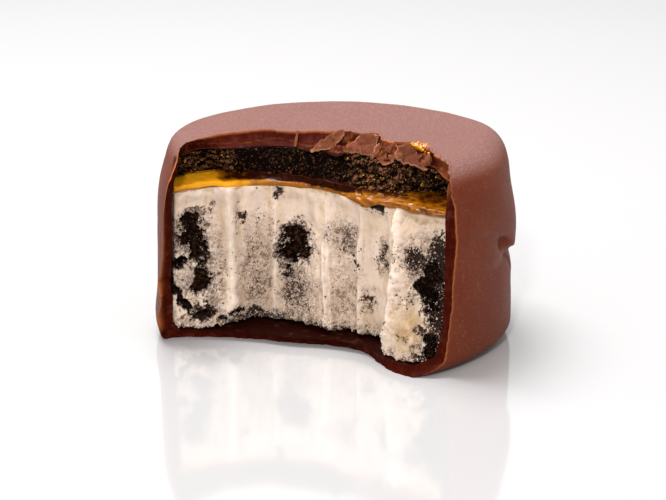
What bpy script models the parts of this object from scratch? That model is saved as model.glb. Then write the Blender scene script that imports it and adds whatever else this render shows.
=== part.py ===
"""A round frozen alfajor with one bite taken out of its front.

A chocolate coat wraps a thick disc of ice cream with cookie pieces in it, a layer of caramel and,
under the top coat, one dark cocoa biscuit. Each of them is one solid, bitten through.

Frame: metres, +Z up. The origin is where the cake's axis meets the table, and the bite opens
towards -Y, a little to the left. Lengths below are in millimetres, and angles named "turn" are in
degrees round the axis, from the front (-Y) towards the right (+X).
"""

import math

import bmesh
import bpy
from mathutils import Vector, noise

MM = 0.001
GAP = 0.3  # clearance kept between neighbouring solids

# The whole cake
RADIUS = 34.0
HEIGHT = 38.0
DOME_RISE = 0.1
SHOULDER_TURNS = (75.0, 115.0)  # the top edge is soft before the first turn and tight after the second
SHOULDER_ROUNDS = (6.0, 2.8)
SHOULDER_LEANS = (16.0, 4.5)  # slope of the side, in degrees, where it reaches the shoulder's rounding
TAPER_START = 25.0  # height at which the side begins to lean in
BASE_ROUND = 3.6
SEGMENTS = 72
ARC_STEPS = 5
SIDE_ROWS = (8.0, 12.0, 16.2, 17.8, 20.0, 22.0, 24.0, 26.0, 28.5, 31.0)

# The chocolate coat
WALL = 2.4
PLATE = 1.8  # coat under the ice cream
TOP_COAT = 2.7
INNER_ROUND = 1.5
INNER_SHOULDER = 1.8  # how much narrower the space in the coat is at its top

# The foot where the coat pooled, beside the left edge of the bite
FOOT_TURN = -80.0
FOOT_WIDTH = 32.0
FOOT_ROUND = 1.6

# The fold on the right side: the coat slid down and stopped in a soft step
FOLD_PROUD = 1.2
FOLD_HIGH = 25.5
FOLD_LOW = 17.0
FOLD_TURNS = (46.0, 84.0, 104.0, 140.0)  # starts, is full, starts to fade, has gone
FOLD_FADE = 33.0  # height at which the swelling has gone
FOLD_SOFTNESS = 0.8

# The layers, bottom to top
ICE_TOP = 28.3
CARAMEL_TOP = 29.8
BISCUIT_TOP = HEIGHT - TOP_COAT

# The bite, as curves seen from above at a few heights: (x, y), from its left edge to its right one
PLATE_EDGE = ((-31.5, -7.0), (-26.0, -7.0), (-18.0, -9.0), (-8.0, -10.5), (0.0, -11.5), (5.0, -14.0),
              (8.0, -20.0), (11.0, -25.5), (15.5, -28.0), (18.5, -27.0), (20.8, -24.6))
PLATE_LIP = ((-31.5, -7.0), (-26.0, -7.5), (-18.0, -10.0), (-8.0, -12.5), (0.0, -14.0), (5.0, -16.5),
             (8.0, -22.5), (11.0, -28.0), (15.5, -29.5), (18.5, -28.0), (20.8, -24.8))
ICE_FOOT = ((-31.5, -6.0), (-25.0, -7.5), (-20.0, -6.0), (-14.0, -2.5), (-9.5, -4.0), (-3.0, -9.0),
            (4.5, -10.5), (8.5, -15.5), (11.5, -24.0), (15.5, -28.0), (20.5, -25.0))
ICE_MIDDLE = ((-31.0, -5.0), (-25.0, -3.5), (-20.0, -3.0), (-14.0, -1.0), (-9.0, -1.5), (-3.0, -5.5),
              (4.0, -8.5), (9.0, -13.0), (12.0, -20.0), (15.5, -22.5), (21.0, -23.0))
ICE_HEAD = ((-30.5, -3.5), (-25.0, 0.0), (-19.5, 1.0), (-13.5, 2.0), (-8.0, 1.0), (-2.0, -1.5),
            (4.0, -8.0), (8.5, -12.0), (12.5, -12.5), (16.0, -16.5), (20.5, -20.0))
BISCUIT_FOOT = ((-30.5, 2.0), (-25.5, 7.0), (-19.0, 5.5), (-13.0, 4.0), (-6.5, 2.0), (-0.5, -2.5),
                (4.5, -6.0), (9.0, -9.5), (12.5, -10.5), (16.0, -8.0), (22.5, -9.0))
BISCUIT_HEAD = ((-30.5, -1.0), (-25.5, 2.0), (-19.0, 3.5), (-13.0, 4.0), (-6.5, 3.0), (-0.5, 2.5),
                (4.5, -1.5), (9.0, -6.0), (12.5, -7.5), (16.0, -10.5), (21.5, -18.5))
TOP_EDGE = ((-30.5, -9.5), (-27.5, -1.5), (-22.0, 5.0), (-14.5, 8.0), (-7.0, 6.0), (-0.5, 6.0),
            (4.5, 4.0), (9.0, 1.0), (12.5, -3.5), (17.0, -6.0), (21.0, -21.0))
WALL_EDGES = ((-33.2, -7.8), (22.4, -25.6))  # where the bite leaves the coat's outer face
CURVE_POINTS = 31
CUT_REACH = 62.0  # how far a cutter reaches beyond the axis
MIDDLE_HEIGHT = 13.0

# Cookie pieces in the bitten face: how far along the bite they lie (0 is its left edge and 1 its
# right one), their middle's height, their half sizes along, into and up the face, and their tilt
COOKIE_PIECES = {
    "cookie_piece_left": (0.082, 18.4, (2.2, 2.4, 4.9), 10.0),
    "cookie_piece_left_low": (0.1, 10.0, (1.9, 1.9, 2.0), 0.0),
    "cookie_piece_middle": (0.415, 16.3, (2.8, 2.6, 4.4), -10.0),
    "cookie_piece_right": (0.925, 14.0, (1.8, 2.0, 4.6), 4.0),
    "cookie_piece_right_low": (0.9, 5.2, (1.7, 1.7, 2.1), -8.0),
}
PIECE_DEPTH = 0.6  # how far behind the bitten face a piece's middle lies
PIECE_ROUGHNESS = 0.28
PIECE_DETAIL = 2

# Base colour (linear), roughness
FINISHES = {
    "chocolate_coating": ((0.175, 0.048, 0.028), 0.42),
    "ice_cream": ((0.68, 0.52, 0.39), 0.6),
    "caramel": ((0.45, 0.17, 0.01), 0.15),
    "biscuit": ((0.02, 0.008, 0.005), 0.8),
    "cookie": ((0.012, 0.007, 0.005), 0.85),
}


def clear_scene():
    for thing in list(bpy.data.objects):
        bpy.data.objects.remove(thing)


def make_material(name):
    colour, roughness = FINISHES[name]
    material = bpy.data.materials.new(name)
    material.use_nodes = True
    shader = material.node_tree.nodes["Principled BSDF"]
    shader.inputs["Base Color"].default_value = (*colour, 1.0)
    shader.inputs["Roughness"].default_value = roughness
    shader.inputs["Metallic"].default_value = 0.0
    material.diffuse_color = (*colour, 1.0)
    return material


def make_object(name, bm, material=None):
    """Puts a bmesh, in metres, into the scene as one object with its faces pointing out."""
    bmesh.ops.recalc_face_normals(bm, faces=bm.faces)
    mesh = bpy.data.meshes.new(name)
    bm.to_mesh(mesh)
    bm.free()
    made = bpy.data.objects.new(name, mesh)
    bpy.context.scene.collection.objects.link(made)
    if material:
        mesh.materials.append(material)
        mesh.shade_smooth()
        mesh.set_sharp_from_angle(angle=math.radians(40))
    return made


def make_cutter(name, bm):
    made = make_object(name, bm)
    made.hide_render = True
    made.display_type = "WIRE"
    return made


def cut_away(target, cutter):
    cut = target.modifiers.new(cutter.name, "BOOLEAN")
    cut.operation = "DIFFERENCE"
    cut.solver = "EXACT"
    cut.object = cutter


def smoothstep(low, high, value):
    share = min(1.0, max(0.0, (value - low) / (high - low)))
    return share * share * (3.0 - 2.0 * share)


def arc(centre, radius, start, end, steps):
    """Points (r, z) along an arc, from one angle to another in degrees above the +r direction."""
    points = []
    for k in range(steps + 1):
        angle = math.radians(start + (end - start) * k / steps)
        points.append((centre[0] + radius * math.cos(angle), centre[1] + radius * math.sin(angle)))
    return points


def base_round(turn):
    """The rounding at the foot of the side: tight where the coat pooled, soft elsewhere."""
    nearness = 1.0 - smoothstep(0.0, FOOT_WIDTH, abs(turn - FOOT_TURN))
    return BASE_ROUND + (FOOT_ROUND - BASE_ROUND) * nearness


def fold_height(turn):
    """Height of the step under the fold: it runs down as it goes round to the right."""
    start, full = FOLD_TURNS[:2]
    return FOLD_HIGH + (FOLD_LOW - FOLD_HIGH) * smoothstep(start, full + 12.0, turn)


def fold_swelling(turn, z):
    """How far the side stands out of round above the step of the fold."""
    start, full, fading, gone = FOLD_TURNS
    along = smoothstep(start, full, turn) * (1.0 - smoothstep(fading, gone, turn))
    step = fold_height(turn)
    above = smoothstep(step - FOLD_SOFTNESS, step + FOLD_SOFTNESS, z)
    return FOLD_PROUD * along * above * (1.0 - smoothstep(step + 4.0, FOLD_FADE, z))


def shoulder_at(turn):
    """The top edge's rounding at one angle, and the side's slope, in radians, where it begins."""
    share = smoothstep(*SHOULDER_TURNS, abs(turn))
    rounding = SHOULDER_ROUNDS[0] + (SHOULDER_ROUNDS[1] - SHOULDER_ROUNDS[0]) * share
    lean = SHOULDER_LEANS[0] + (SHOULDER_LEANS[1] - SHOULDER_LEANS[0]) * share
    return rounding, math.radians(lean)


def lean_in(z, turn=0.0):
    """How far the side has leaned in at a height: nothing up to the taper, then ever steeper."""
    rounding, lean = shoulder_at(turn)
    start = HEIGHT - DOME_RISE - rounding * (1.0 - math.sin(lean))
    return 0.5 * math.tan(lean) * max(0.0, z - TAPER_START) ** 2 / (start - TAPER_START)


def outer_profile(turn):
    """Half profile (r, z) of the coated cake at one angle, from the underside's middle to the top's."""
    foot = base_round(turn)
    points = [(0.0, 0.0), (RADIUS * 0.5, 0.0)]
    points += arc((RADIUS - foot, foot), foot, -90.0, 0.0, ARC_STEPS)
    for z in SIDE_ROWS:
        points.append((RADIUS - lean_in(z, turn) + fold_swelling(turn, z), z))
    rounding, lean = shoulder_at(turn)
    middle = HEIGHT - DOME_RISE - rounding
    start = middle + rounding * math.sin(lean)
    shoulder = RADIUS - lean_in(start, turn) - rounding * math.cos(lean)
    points += arc((shoulder, middle), rounding, math.degrees(lean), 90.0, ARC_STEPS)
    points += [(shoulder * 0.5, HEIGHT - DOME_RISE * 0.25), (0.0, HEIGHT)]
    return points


def inner_radius(z):
    """Radius of the space inside the coat at a height."""
    low_corner = max(0.0, PLATE + INNER_ROUND - z)
    high_corner = INNER_SHOULDER * smoothstep(CARAMEL_TOP, BISCUIT_TOP, z)
    return RADIUS - WALL - lean_in(min(z, CARAMEL_TOP)) - low_corner - high_corner


def layer_profile(low, high, clearance):
    """Half profile (r, z) of a disc that fills the coat between two heights."""
    count = max(1, round((high - low) / 6.0))
    heights = [low + (high - low) * k / count for k in range(count + 1)]
    if low < PLATE + INNER_ROUND < high:
        heights.insert(1, PLATE + INNER_ROUND)
    side = [(inner_radius(z) - clearance, z) for z in heights]
    return [(0.0, low), *side, (0.0, high)]


def turned(profile_at):
    """A closed mesh from half profiles round the axis, whose first and last points lie on it."""
    bm = bmesh.new()
    profiles = []
    for k in range(SEGMENTS):
        turn = (360.0 * k / SEGMENTS + 180.0) % 360.0 - 180.0
        profiles.append((math.radians(turn), profile_at(turn)))
    low, high = profiles[0][1][0], profiles[0][1][-1]
    bottom = bm.verts.new(Vector((0.0, 0.0, low[1])) * MM)
    top = bm.verts.new(Vector((0.0, 0.0, high[1])) * MM)
    columns = []
    for angle, points in profiles:
        column = []
        for r, z in points[1:-1]:
            column.append(bm.verts.new(Vector((r * math.sin(angle), -r * math.cos(angle), z)) * MM))
        columns.append([bottom, *column, top])
    for k, column in enumerate(columns):
        following = columns[(k + 1) % SEGMENTS]
        for row in range(len(column) - 1):
            corners = [column[row], following[row], following[row + 1], column[row + 1]]
            bm.faces.new(dict.fromkeys(corners))
    bmesh.ops.triangulate(bm, faces=bm.faces)
    return bm


def smooth_curve(points, count):
    """Points along a Catmull-Rom curve through the given ones, evenly spaced along their number."""
    made = []
    last = len(points) - 1
    for k in range(count):
        place = last * k / (count - 1)
        i = min(int(place), last - 1)
        t = place - i
        a, b, c, d = (Vector(points[min(last, max(0, i + j))]) for j in (-1, 0, 1, 2))
        made.append(b + 0.5 * t * ((c - a) + t * ((2 * a - 5 * b + 4 * c - d) + t * (3 * (b - c) + d - a))))
    return made


def blend_curves(low, high, share):
    return [a.lerp(b, share) for a, b in zip(low, high)]


def bite_solid(levels):
    """A closed solid of everything bitten off, lofted through (height, curve) levels."""
    left, right = (Vector(edge) for edge in WALL_EDGES)
    bm = bmesh.new()
    rings = []
    for z, curve in levels:
        far_right = right.normalized() * CUT_REACH
        far_left = left.normalized() * CUT_REACH
        front = Vector((0.0, -CUT_REACH * 1.3))
        outline = [left, *curve, right, far_right, front, far_left]
        rings.append([bm.verts.new(Vector((p.x, p.y, z)) * MM) for p in outline])
    for low, high in zip(rings, rings[1:]):
        for k in range(len(low)):
            n = (k + 1) % len(low)
            bm.faces.new((low[k], low[n], high[n], high[k]))
    bm.faces.new(reversed(rings[0]))
    bm.faces.new(rings[-1])
    bmesh.ops.triangulate(bm, faces=bm.faces)
    return bm


def face_point(levels, share, z):
    """A point of the bitten face and the horizontal direction into the cake there."""
    for (low_z, low), (high_z, high) in zip(levels, levels[1:]):
        if low_z <= z <= high_z:
            curve = blend_curves(low, high, (z - low_z) / (high_z - low_z))
    place = share * (len(curve) - 1)
    k = min(int(place), len(curve) - 2)
    along = (curve[k + 1] - curve[k]).normalized()
    spot = curve[k].lerp(curve[k + 1], place - k)
    return spot, Vector((-along.y, along.x))


def lump(spot, inwards, z, half_sizes, tilt, seed, grow):
    """An uneven cookie piece; grow makes the pocket that it sits in."""
    bm = bmesh.new()
    bmesh.ops.create_icosphere(bm, subdivisions=PIECE_DETAIL, radius=1.0)
    along = Vector((inwards.y, -inwards.x))
    turn = math.radians(tilt)
    for vert in bm.verts:
        direction = vert.co.normalized()
        size = 1.0 + PIECE_ROUGHNESS * noise.noise(direction * 1.7 + Vector((seed, 0.0, 0.0)))
        local = [direction[i] * (half_sizes[i] * size + grow) for i in range(3)]
        across = local[0] * math.cos(turn) - local[2] * math.sin(turn)
        height = local[0] * math.sin(turn) + local[2] * math.cos(turn)
        flat = spot + along * across + inwards * (PIECE_DEPTH + local[1])
        vert.co = Vector((flat.x, flat.y, z + height)) * MM
    return bm


def bite_levels():
    """The bite's curves at their heights, for each piece that it cuts."""
    plate, lip, ice_foot, ice_middle, ice_head, biscuit_foot, biscuit_head, top_edge = (
        smooth_curve(points, CURVE_POINTS)
        for points in (PLATE_EDGE, PLATE_LIP, ICE_FOOT, ICE_MIDDLE, ICE_HEAD, BISCUIT_FOOT,
                       BISCUIT_HEAD, TOP_EDGE)
    )
    coat = [(-4.0, plate), (0.0, plate), (PLATE + GAP, lip), (PLATE + 3.0, ice_foot),
            (MIDDLE_HEIGHT, ice_middle),
            (ICE_TOP, ice_head), (BISCUIT_TOP - 0.1, biscuit_head),
            (HEIGHT - DOME_RISE, top_edge), (HEIGHT + 4.0, top_edge)]
    ice = [(-4.0, ice_foot), (PLATE, ice_foot), (MIDDLE_HEIGHT, ice_middle), (ICE_TOP, ice_head),
           (ICE_TOP + 4.0, ice_head)]
    caramel_head = blend_curves(ice_head, biscuit_foot, 0.35)
    caramel = [(ICE_TOP - 4.0, ice_head), (ICE_TOP, ice_head), (CARAMEL_TOP, caramel_head),
               (CARAMEL_TOP + 4.0, caramel_head)]
    biscuit = [(CARAMEL_TOP - 4.0, biscuit_foot), (CARAMEL_TOP, biscuit_foot),
               (BISCUIT_TOP, biscuit_head), (BISCUIT_TOP + 4.0, biscuit_head)]
    return {"chocolate_coating": coat, "ice_cream": ice, "caramel": caramel, "biscuit": biscuit}


def build_coating(levels):
    coat = make_object("chocolate_coating", turned(outer_profile), make_material("chocolate_coating"))
    inside = turned(lambda turn: layer_profile(PLATE, BISCUIT_TOP, 0.0))
    cut_away(coat, make_cutter("space_in_coat", inside))
    cut_away(coat, make_cutter("bite_in_coat", bite_solid(levels)))


def build_layer(name, low, high, levels):
    disc = turned(lambda turn: layer_profile(low, high, GAP))
    layer = make_object(name, disc, make_material(name))
    cut_away(layer, make_cutter("bite_in_" + name, bite_solid(levels)))
    return layer


def build_cookie_pieces(ice_cream, levels):
    material = make_material("cookie")
    bite = bpy.data.objects["bite_in_ice_cream"]
    for seed, (name, (share, z, half_sizes, tilt)) in enumerate(COOKIE_PIECES.items()):
        spot, inwards = face_point(levels, share, z)
        piece = make_object(name, lump(spot, inwards, z, half_sizes, tilt, seed, 0.0), material)
        cut_away(piece, bite)
        pocket = make_cutter("pocket_of_" + name, lump(spot, inwards, z, half_sizes, tilt, seed, GAP))
        cut_away(ice_cream, pocket)


def build():
    clear_scene()
    levels = bite_levels()
    build_coating(levels["chocolate_coating"])
    ice_cream = build_layer("ice_cream", PLATE + GAP, ICE_TOP - GAP, levels["ice_cream"])
    build_layer("caramel", ICE_TOP, CARAMEL_TOP, levels["caramel"])
    build_layer("biscuit", CARAMEL_TOP + GAP, BISCUIT_TOP - GAP, levels["biscuit"])
    build_cookie_pieces(ice_cream, levels["ice_cream"])


build()
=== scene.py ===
"""Looks of a round frozen alfajor with one bite taken out of its front.

A milk-chocolate coat holds a thick disc of ice cream with cookie pieces, a layer of caramel and one
dark cocoa biscuit under its top. Each layer is a closed mesh that replaces its CAD node, and small
crumbs, grains and frost are strewn over the bitten faces.

Lengths are in millimetres and meshes are scaled to metres when they are made. +Z is up and the bite
opens towards -Y. An angle named "turn" is in degrees round the axis, from the front towards +X.
"""

from __future__ import annotations

import itertools
import logging
import math
from collections.abc import Callable
from dataclasses import dataclass, field
from enum import Enum

import bmesh
import bpy
import numpy as np
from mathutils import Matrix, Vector

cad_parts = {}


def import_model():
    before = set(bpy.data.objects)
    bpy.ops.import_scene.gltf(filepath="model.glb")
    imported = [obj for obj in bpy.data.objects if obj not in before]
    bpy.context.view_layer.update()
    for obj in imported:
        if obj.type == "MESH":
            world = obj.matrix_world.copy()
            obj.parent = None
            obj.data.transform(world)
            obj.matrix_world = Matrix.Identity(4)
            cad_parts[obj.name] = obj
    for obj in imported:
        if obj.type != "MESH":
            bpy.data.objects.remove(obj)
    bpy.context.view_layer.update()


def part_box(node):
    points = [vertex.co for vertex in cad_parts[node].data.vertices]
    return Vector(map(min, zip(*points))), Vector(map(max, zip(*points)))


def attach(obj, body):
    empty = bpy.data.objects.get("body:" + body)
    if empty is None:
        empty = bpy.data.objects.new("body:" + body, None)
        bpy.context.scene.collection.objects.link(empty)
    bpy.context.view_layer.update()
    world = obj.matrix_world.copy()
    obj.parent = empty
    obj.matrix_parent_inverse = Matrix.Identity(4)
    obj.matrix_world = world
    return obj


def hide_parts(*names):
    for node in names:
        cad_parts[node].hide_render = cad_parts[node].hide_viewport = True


LOG = logging.getLogger("alfajor")
MM = 0.001
BODY = "root"
MIX_A, MIX_B, MIX_RESULT = 6, 7, 2  # the colour sockets of a mix node
FAR = 90.0  # a distance from inside the cake that is surely outside it
HALVINGS = 26  # how often a ray is halved on the way to a surface
MOSTLY = 0.75  # a face painted more than this wears its piece's second material
CHIP_POINTS = 160  # round the outline of a chip
FEW_LARGE = 2.5  # the power that makes most grains small
Array = np.ndarray
Triple = tuple[float, float, float]
Material = bpy.types.Material
Piece = bpy.types.Object
Socket = bpy.types.NodeSocket


class Slot(Enum):
    """The cake's material slots."""

    CHOCOLATE = "chocolate"
    ICE_CREAM = "ice_cream"
    CARAMEL = "caramel"
    BISCUIT = "cocoa_biscuit"
    COOKIE = "cookie"


# --------------------------------------------------------------------------- numbers and curves


def ease(low: float, high: float, value: Array) -> Array:
    """Return 0 below low, 1 above high and a smooth step between them."""
    share = np.clip((value - low) / (high - low), 0.0, 1.0)
    return share * share * (3.0 - 2.0 * share)


def bell(value: Array, width: float) -> Array:
    """Return a bell curve of a value, 1 at zero."""
    return np.exp(-((value / width) ** 2))


def unit(vectors: Array) -> Array:
    """Return vectors scaled to length 1."""
    return vectors / np.maximum(np.linalg.norm(vectors, axis=-1, keepdims=True), 1e-9)


def spline(points: Array, places: Array, closed: bool = False) -> Array:
    """Evaluate a Catmull-Rom curve through points.

    Args:
        points: the curve's own points, one row each.
        places: where to read it; 1.0 is the second point, 1.5 halfway to the third.
        closed: whether the last point joins the first.

    Returns:
        One row for each place.
    """
    count = len(points)
    start = np.floor(places).astype(int)
    if not closed:
        start = np.clip(start, 0, count - 2)
    t = (places - start)[:, None]
    around = [start + k for k in (-1, 0, 1, 2)]
    indices = [k % count if closed else np.clip(k, 0, count - 1) for k in around]
    a, b, c, d = (points[k] for k in indices)
    return b + 0.5 * t * ((c - a) + t * ((2 * a - 5 * b + 4 * c - d) + t * (3 * (b - c) + d - a)))


def even_places(points: Array, count: int, closed: bool = False) -> Array:
    """Find places along a curve that lie at even distances.

    Args:
        points: the curve's own points.
        count: how many places.
        closed: whether the last point joins the first.

    Returns:
        The places, as spline() reads them.
    """
    end = len(points) - (0 if closed else 1)
    fine = np.linspace(0.0, end, end * 40 + 1)
    steps = np.linalg.norm(np.diff(spline(points, fine, closed), axis=0), axis=1)
    length = np.concatenate([[0.0], np.cumsum(steps)])
    wanted = np.linspace(0.0, length[-1], count, endpoint=not closed)
    return np.interp(wanted, length, fine)


def turn_towards(start: Array, end: Array, share: float) -> Array:
    """Turn unit vectors a share of the way towards one other unit vector."""
    angle = np.arccos(np.clip(start @ end, -1.0, 1.0))[:, None]
    return (np.sin((1 - share) * angle) * start + np.sin(share * angle) * end) / np.sin(angle)


def blurred(grid: Array, reach: int) -> Array:
    """Return a grid averaged over squares of 2 * reach + 1 cells."""
    size = 2 * reach + 1
    for axis in (0, 1):
        edges = [(reach + 1, reach) if k == axis else (0, 0) for k in (0, 1)]
        total = np.moveaxis(np.cumsum(np.pad(grid, edges, mode="edge"), axis=axis), axis, 0)
        grid = np.moveaxis((total[size:] - total[:-size]) / size, 0, axis)
    return grid


class Noise:
    """Smooth random fields in space that are the same on every run."""

    def __init__(self, seed: int) -> None:
        """Draw the lattice's random directions and feature points."""
        rng = np.random.default_rng(seed)
        self.order = rng.permutation(256)
        self.slopes = unit(rng.normal(size=(256, 3)))
        self.spots = rng.random((256, 3))

    def _pick(self, cell: Array) -> Array:
        """Return a number from 0 to 255 for each lattice cell."""
        x, y, z = (cell & 255).T
        return self.order[(self.order[(self.order[x] + y) & 255] + z) & 255]

    def smooth(self, points: Array, size: float) -> Array:
        """Evaluate gradient noise.

        Args:
            points: rows of x, y, z.
            size: distance over which the field changes.

        Returns:
            Values of about -1 to 1.
        """
        scaled = points / size
        cell = np.floor(scaled).astype(int)
        part = scaled - cell
        fade = part ** 3 * (part * (part * 6 - 15) + 10)
        total = np.zeros(len(points))
        for corner in itertools.product((0, 1), repeat=3):
            share = np.prod(np.where(corner, fade, 1 - fade), axis=1)
            slope = self.slopes[self._pick(cell + np.array(corner))]
            total += share * np.einsum("ij,ij->i", slope, part - corner)
        return 1.6 * total

    def rough(self, points: Array, size: float, octaves: int, gain: float = 0.5) -> Array:
        """Sum octaves of gradient noise, each half the size of the last."""
        total = np.zeros(len(points))
        for k in range(octaves):
            total += gain ** k * self.smooth(points + 17.3 * k, size / 2 ** k)
        return total

    def cells(self, points: Array, size: float) -> tuple[Array, Array, Array, Array]:
        """Find the nearest of one random feature point in each lattice cell.

        Args:
            points: rows of x, y, z.
            size: the cells' size.

        Returns:
            Distance to the nearest and to the second nearest point, the offset from the nearest
            one, all in cell sizes, and the nearest one's number from 0 to 255.
        """
        scaled = points / size
        cell = np.floor(scaled).astype(int)
        nearest = np.full(len(points), 9.0)
        second = np.full(len(points), 9.0)
        offset = np.zeros((len(points), 3))
        number = np.zeros(len(points), int)
        for step in itertools.product((-1, 0, 1), repeat=3):
            other = cell + np.array(step)
            pick = self._pick(other)
            away = scaled - other - self.spots[pick]
            distance = np.linalg.norm(away, axis=1)
            closer = distance < nearest
            second = np.where(closer, nearest, np.minimum(second, distance))
            nearest = np.where(closer, distance, nearest)
            offset[closer] = away[closer]
            number[closer] = pick[closer]
        return nearest, second, offset, number

    def nearest(self, points: Array, size: float) -> Array:
        """Return the distance to the nearest feature point, in cell sizes."""
        return self.cells(points, size)[0]


# --------------------------------------------------------------------------- meshes


def make_mesh(name: str, points: Array, quads: Array, triangles: Array, paint: dict[str, Array],
              material: Material) -> Piece:
    """Make a smooth-shaded object from arrays, turned so that its faces point out.

    Args:
        name: the object's name.
        points: rows of x, y, z in millimetres.
        quads: rows of four point numbers.
        triangles: rows of three point numbers.
        paint: values for each point, by attribute name.
        material: its one material.

    Returns:
        The object, linked to the scene.
    """
    loose = np.concatenate([quads[:, [0, 1, 2]], quads[:, [0, 2, 3]], triangles])
    a, b, c = (points[loose[:, k]] for k in range(3))
    if np.einsum("ij,ij->i", a, np.cross(b, c)).sum() < 0:
        quads, triangles = quads[:, ::-1], triangles[:, ::-1]
    mesh = bpy.data.meshes.new(name)
    corners = np.concatenate([quads.ravel(), triangles.ravel()]).astype(np.int32)
    sizes = np.concatenate([np.full(len(quads), 4), np.full(len(triangles), 3)])
    mesh.vertices.add(len(points))
    mesh.vertices.foreach_set("co", (points * MM).astype(np.float32).ravel())
    mesh.loops.add(len(corners))
    mesh.loops.foreach_set("vertex_index", corners)
    mesh.polygons.add(len(sizes))
    mesh.polygons.foreach_set("loop_start", (np.cumsum(sizes) - sizes).astype(np.int32))
    mesh.update(calc_edges=True)
    for key, values in paint.items():
        layer = mesh.attributes.new(key, "FLOAT", "POINT")
        layer.data.foreach_set("value", values.astype(np.float32))
    mesh.materials.append(material)
    mesh.shade_smooth()
    piece = bpy.data.objects.new(name, mesh)
    bpy.context.scene.collection.objects.link(piece)
    return piece


class LoopSkin:
    """A closed surface grown from closed loops of points, one after another.

    A loop has as many points as the one before it, or half or twice as many.
    """

    def __init__(self, *paints: str) -> None:
        """Start empty, with the names of the values painted on its points."""
        self.loops: list[Array] = []
        self.paint: dict[str, list[Array]] = {name: [] for name in paints}

    def add(self, loop: Array, **values: Array | float) -> None:
        """Add the next loop and its painted values, 0 where none is given."""
        self.loops.append(loop)
        for name, layers in self.paint.items():
            layers.append(np.broadcast_to(values.get(name, 0.0), len(loop)))

    def _join(self, a: Array, b: Array) -> tuple[Array, Array]:
        """Return the quads and triangles between two loops of point numbers."""
        if len(a) == len(b):
            return np.stack([a, np.roll(a, -1), np.roll(b, -1), b], axis=1), np.zeros((0, 3), int)
        if len(a) < len(b):
            quads, triangles = self._join(b, a)
            return quads[:, ::-1], triangles[:, ::-1]
        left, middle, right = a[0::2], a[1::2], np.roll(a, -2)[0::2]
        following = np.roll(b, -1)
        quads = np.stack([middle, right, following, b], axis=1)
        return quads, np.stack([left, middle, b], axis=1)

    def make(self, name: str, material: Material) -> Piece:
        """Close both ends with a point in the middle of the end loops and make the object."""
        poles = [self.loops[0].mean(axis=0)[None], self.loops[-1].mean(axis=0)[None]]
        points = np.concatenate([*self.loops, *poles])
        starts = np.cumsum([0] + [len(loop) for loop in self.loops])
        rows = [np.arange(start, start + len(loop)) for start, loop in zip(starts, self.loops)]
        quads, triangles = [], []
        for a, b in zip(rows, rows[1:]):
            four, three = self._join(a, b)
            quads.append(four)
            triangles.append(three)
        for ring, pole, way in ((rows[0], starts[-1], -1), (rows[-1], starts[-1] + 1, 1)):
            fan = np.stack([ring, np.roll(ring, -1), np.full(len(ring), pole)], axis=1)
            triangles.append(fan[:, ::way])
        paint = {}
        for key, layers in self.paint.items():
            ends = [layers[0][:1], layers[-1][:1]]
            paint[key] = np.concatenate([*layers, *ends])
        return make_mesh(name, points, np.concatenate(quads), np.concatenate(triangles), paint,
                         material)


def settle(directions: Array, centre: Array, gap: Callable[[Array], Array], reach: float = FAR) -> Array:
    """Follow rays out of a centre until they meet a surface.

    Args:
        directions: unit vectors, one row each.
        centre: a point inside the surface.
        gap: a function of points that is positive outside the surface.
        reach: a distance that is surely outside.

    Returns:
        The points where the rays meet the surface.
    """
    near = np.zeros(len(directions))
    far = np.full(len(directions), reach)
    for _ in range(HALVINGS):
        middle = 0.5 * (near + far)
        outside = gap(centre + directions * middle[:, None]) > 0
        far = np.where(outside, middle, far)
        near = np.where(outside, near, middle)
    return centre + directions * far[:, None]


def finish_piece(piece: Piece, slot: Slot, *nodes: str) -> Piece:
    """Let a finished piece ride on the part, hide the nodes it stands for and log them."""
    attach(piece, BODY)
    if nodes:
        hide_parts(*nodes)
    corners = sum(len(face.vertices) - 2 for face in piece.data.polygons)
    LOG.info("%s: %d triangles, stands for %s", piece.name, corners, nodes or "no node")
    return piece


# --------------------------------------------------------------------------- node materials


def dress_by_paint(piece: Piece, paint: str, material: Material) -> None:
    """Give a second material to the faces that are mostly painted.

    Args:
        piece: the mesh object.
        paint: the attribute's name.
        material: what those faces wear.
    """
    mesh = piece.data
    mesh.materials.append(material)
    values = np.empty(len(mesh.vertices), np.float32)
    mesh.attributes[paint].data.foreach_get("value", values)
    corners, starts, counts = (np.empty(size, np.int32) for size in
                               (len(mesh.loops), len(mesh.polygons), len(mesh.polygons)))
    mesh.loops.foreach_get("vertex_index", corners)
    mesh.polygons.foreach_get("loop_start", starts)
    mesh.polygons.foreach_get("loop_total", counts)
    means = np.add.reduceat(values[corners], starts) / counts
    mesh.polygons.foreach_set("material_index", (means > MOSTLY).astype(np.int32))


def feed(tree: bpy.types.NodeTree, socket: Socket, value: object) -> None:
    """Link a socket to another one, or set it to a plain value."""
    if isinstance(value, Socket):
        tree.links.new(value, socket)
    elif isinstance(value, tuple) and len(value) < len(socket.default_value):
        socket.default_value = (*value, 1.0)
    else:
        socket.default_value = value


def add_node(tree: bpy.types.NodeTree, kind: str, inputs: dict[str | int, object],
             **settings: object) -> bpy.types.Node:
    """Add a node, set its properties and link or set its inputs."""
    node = tree.nodes.new(kind)
    for key, value in settings.items():
        setattr(node, key, value)
    for key, value in inputs.items():
        feed(tree, node.inputs[key], value)
    return node


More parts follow.
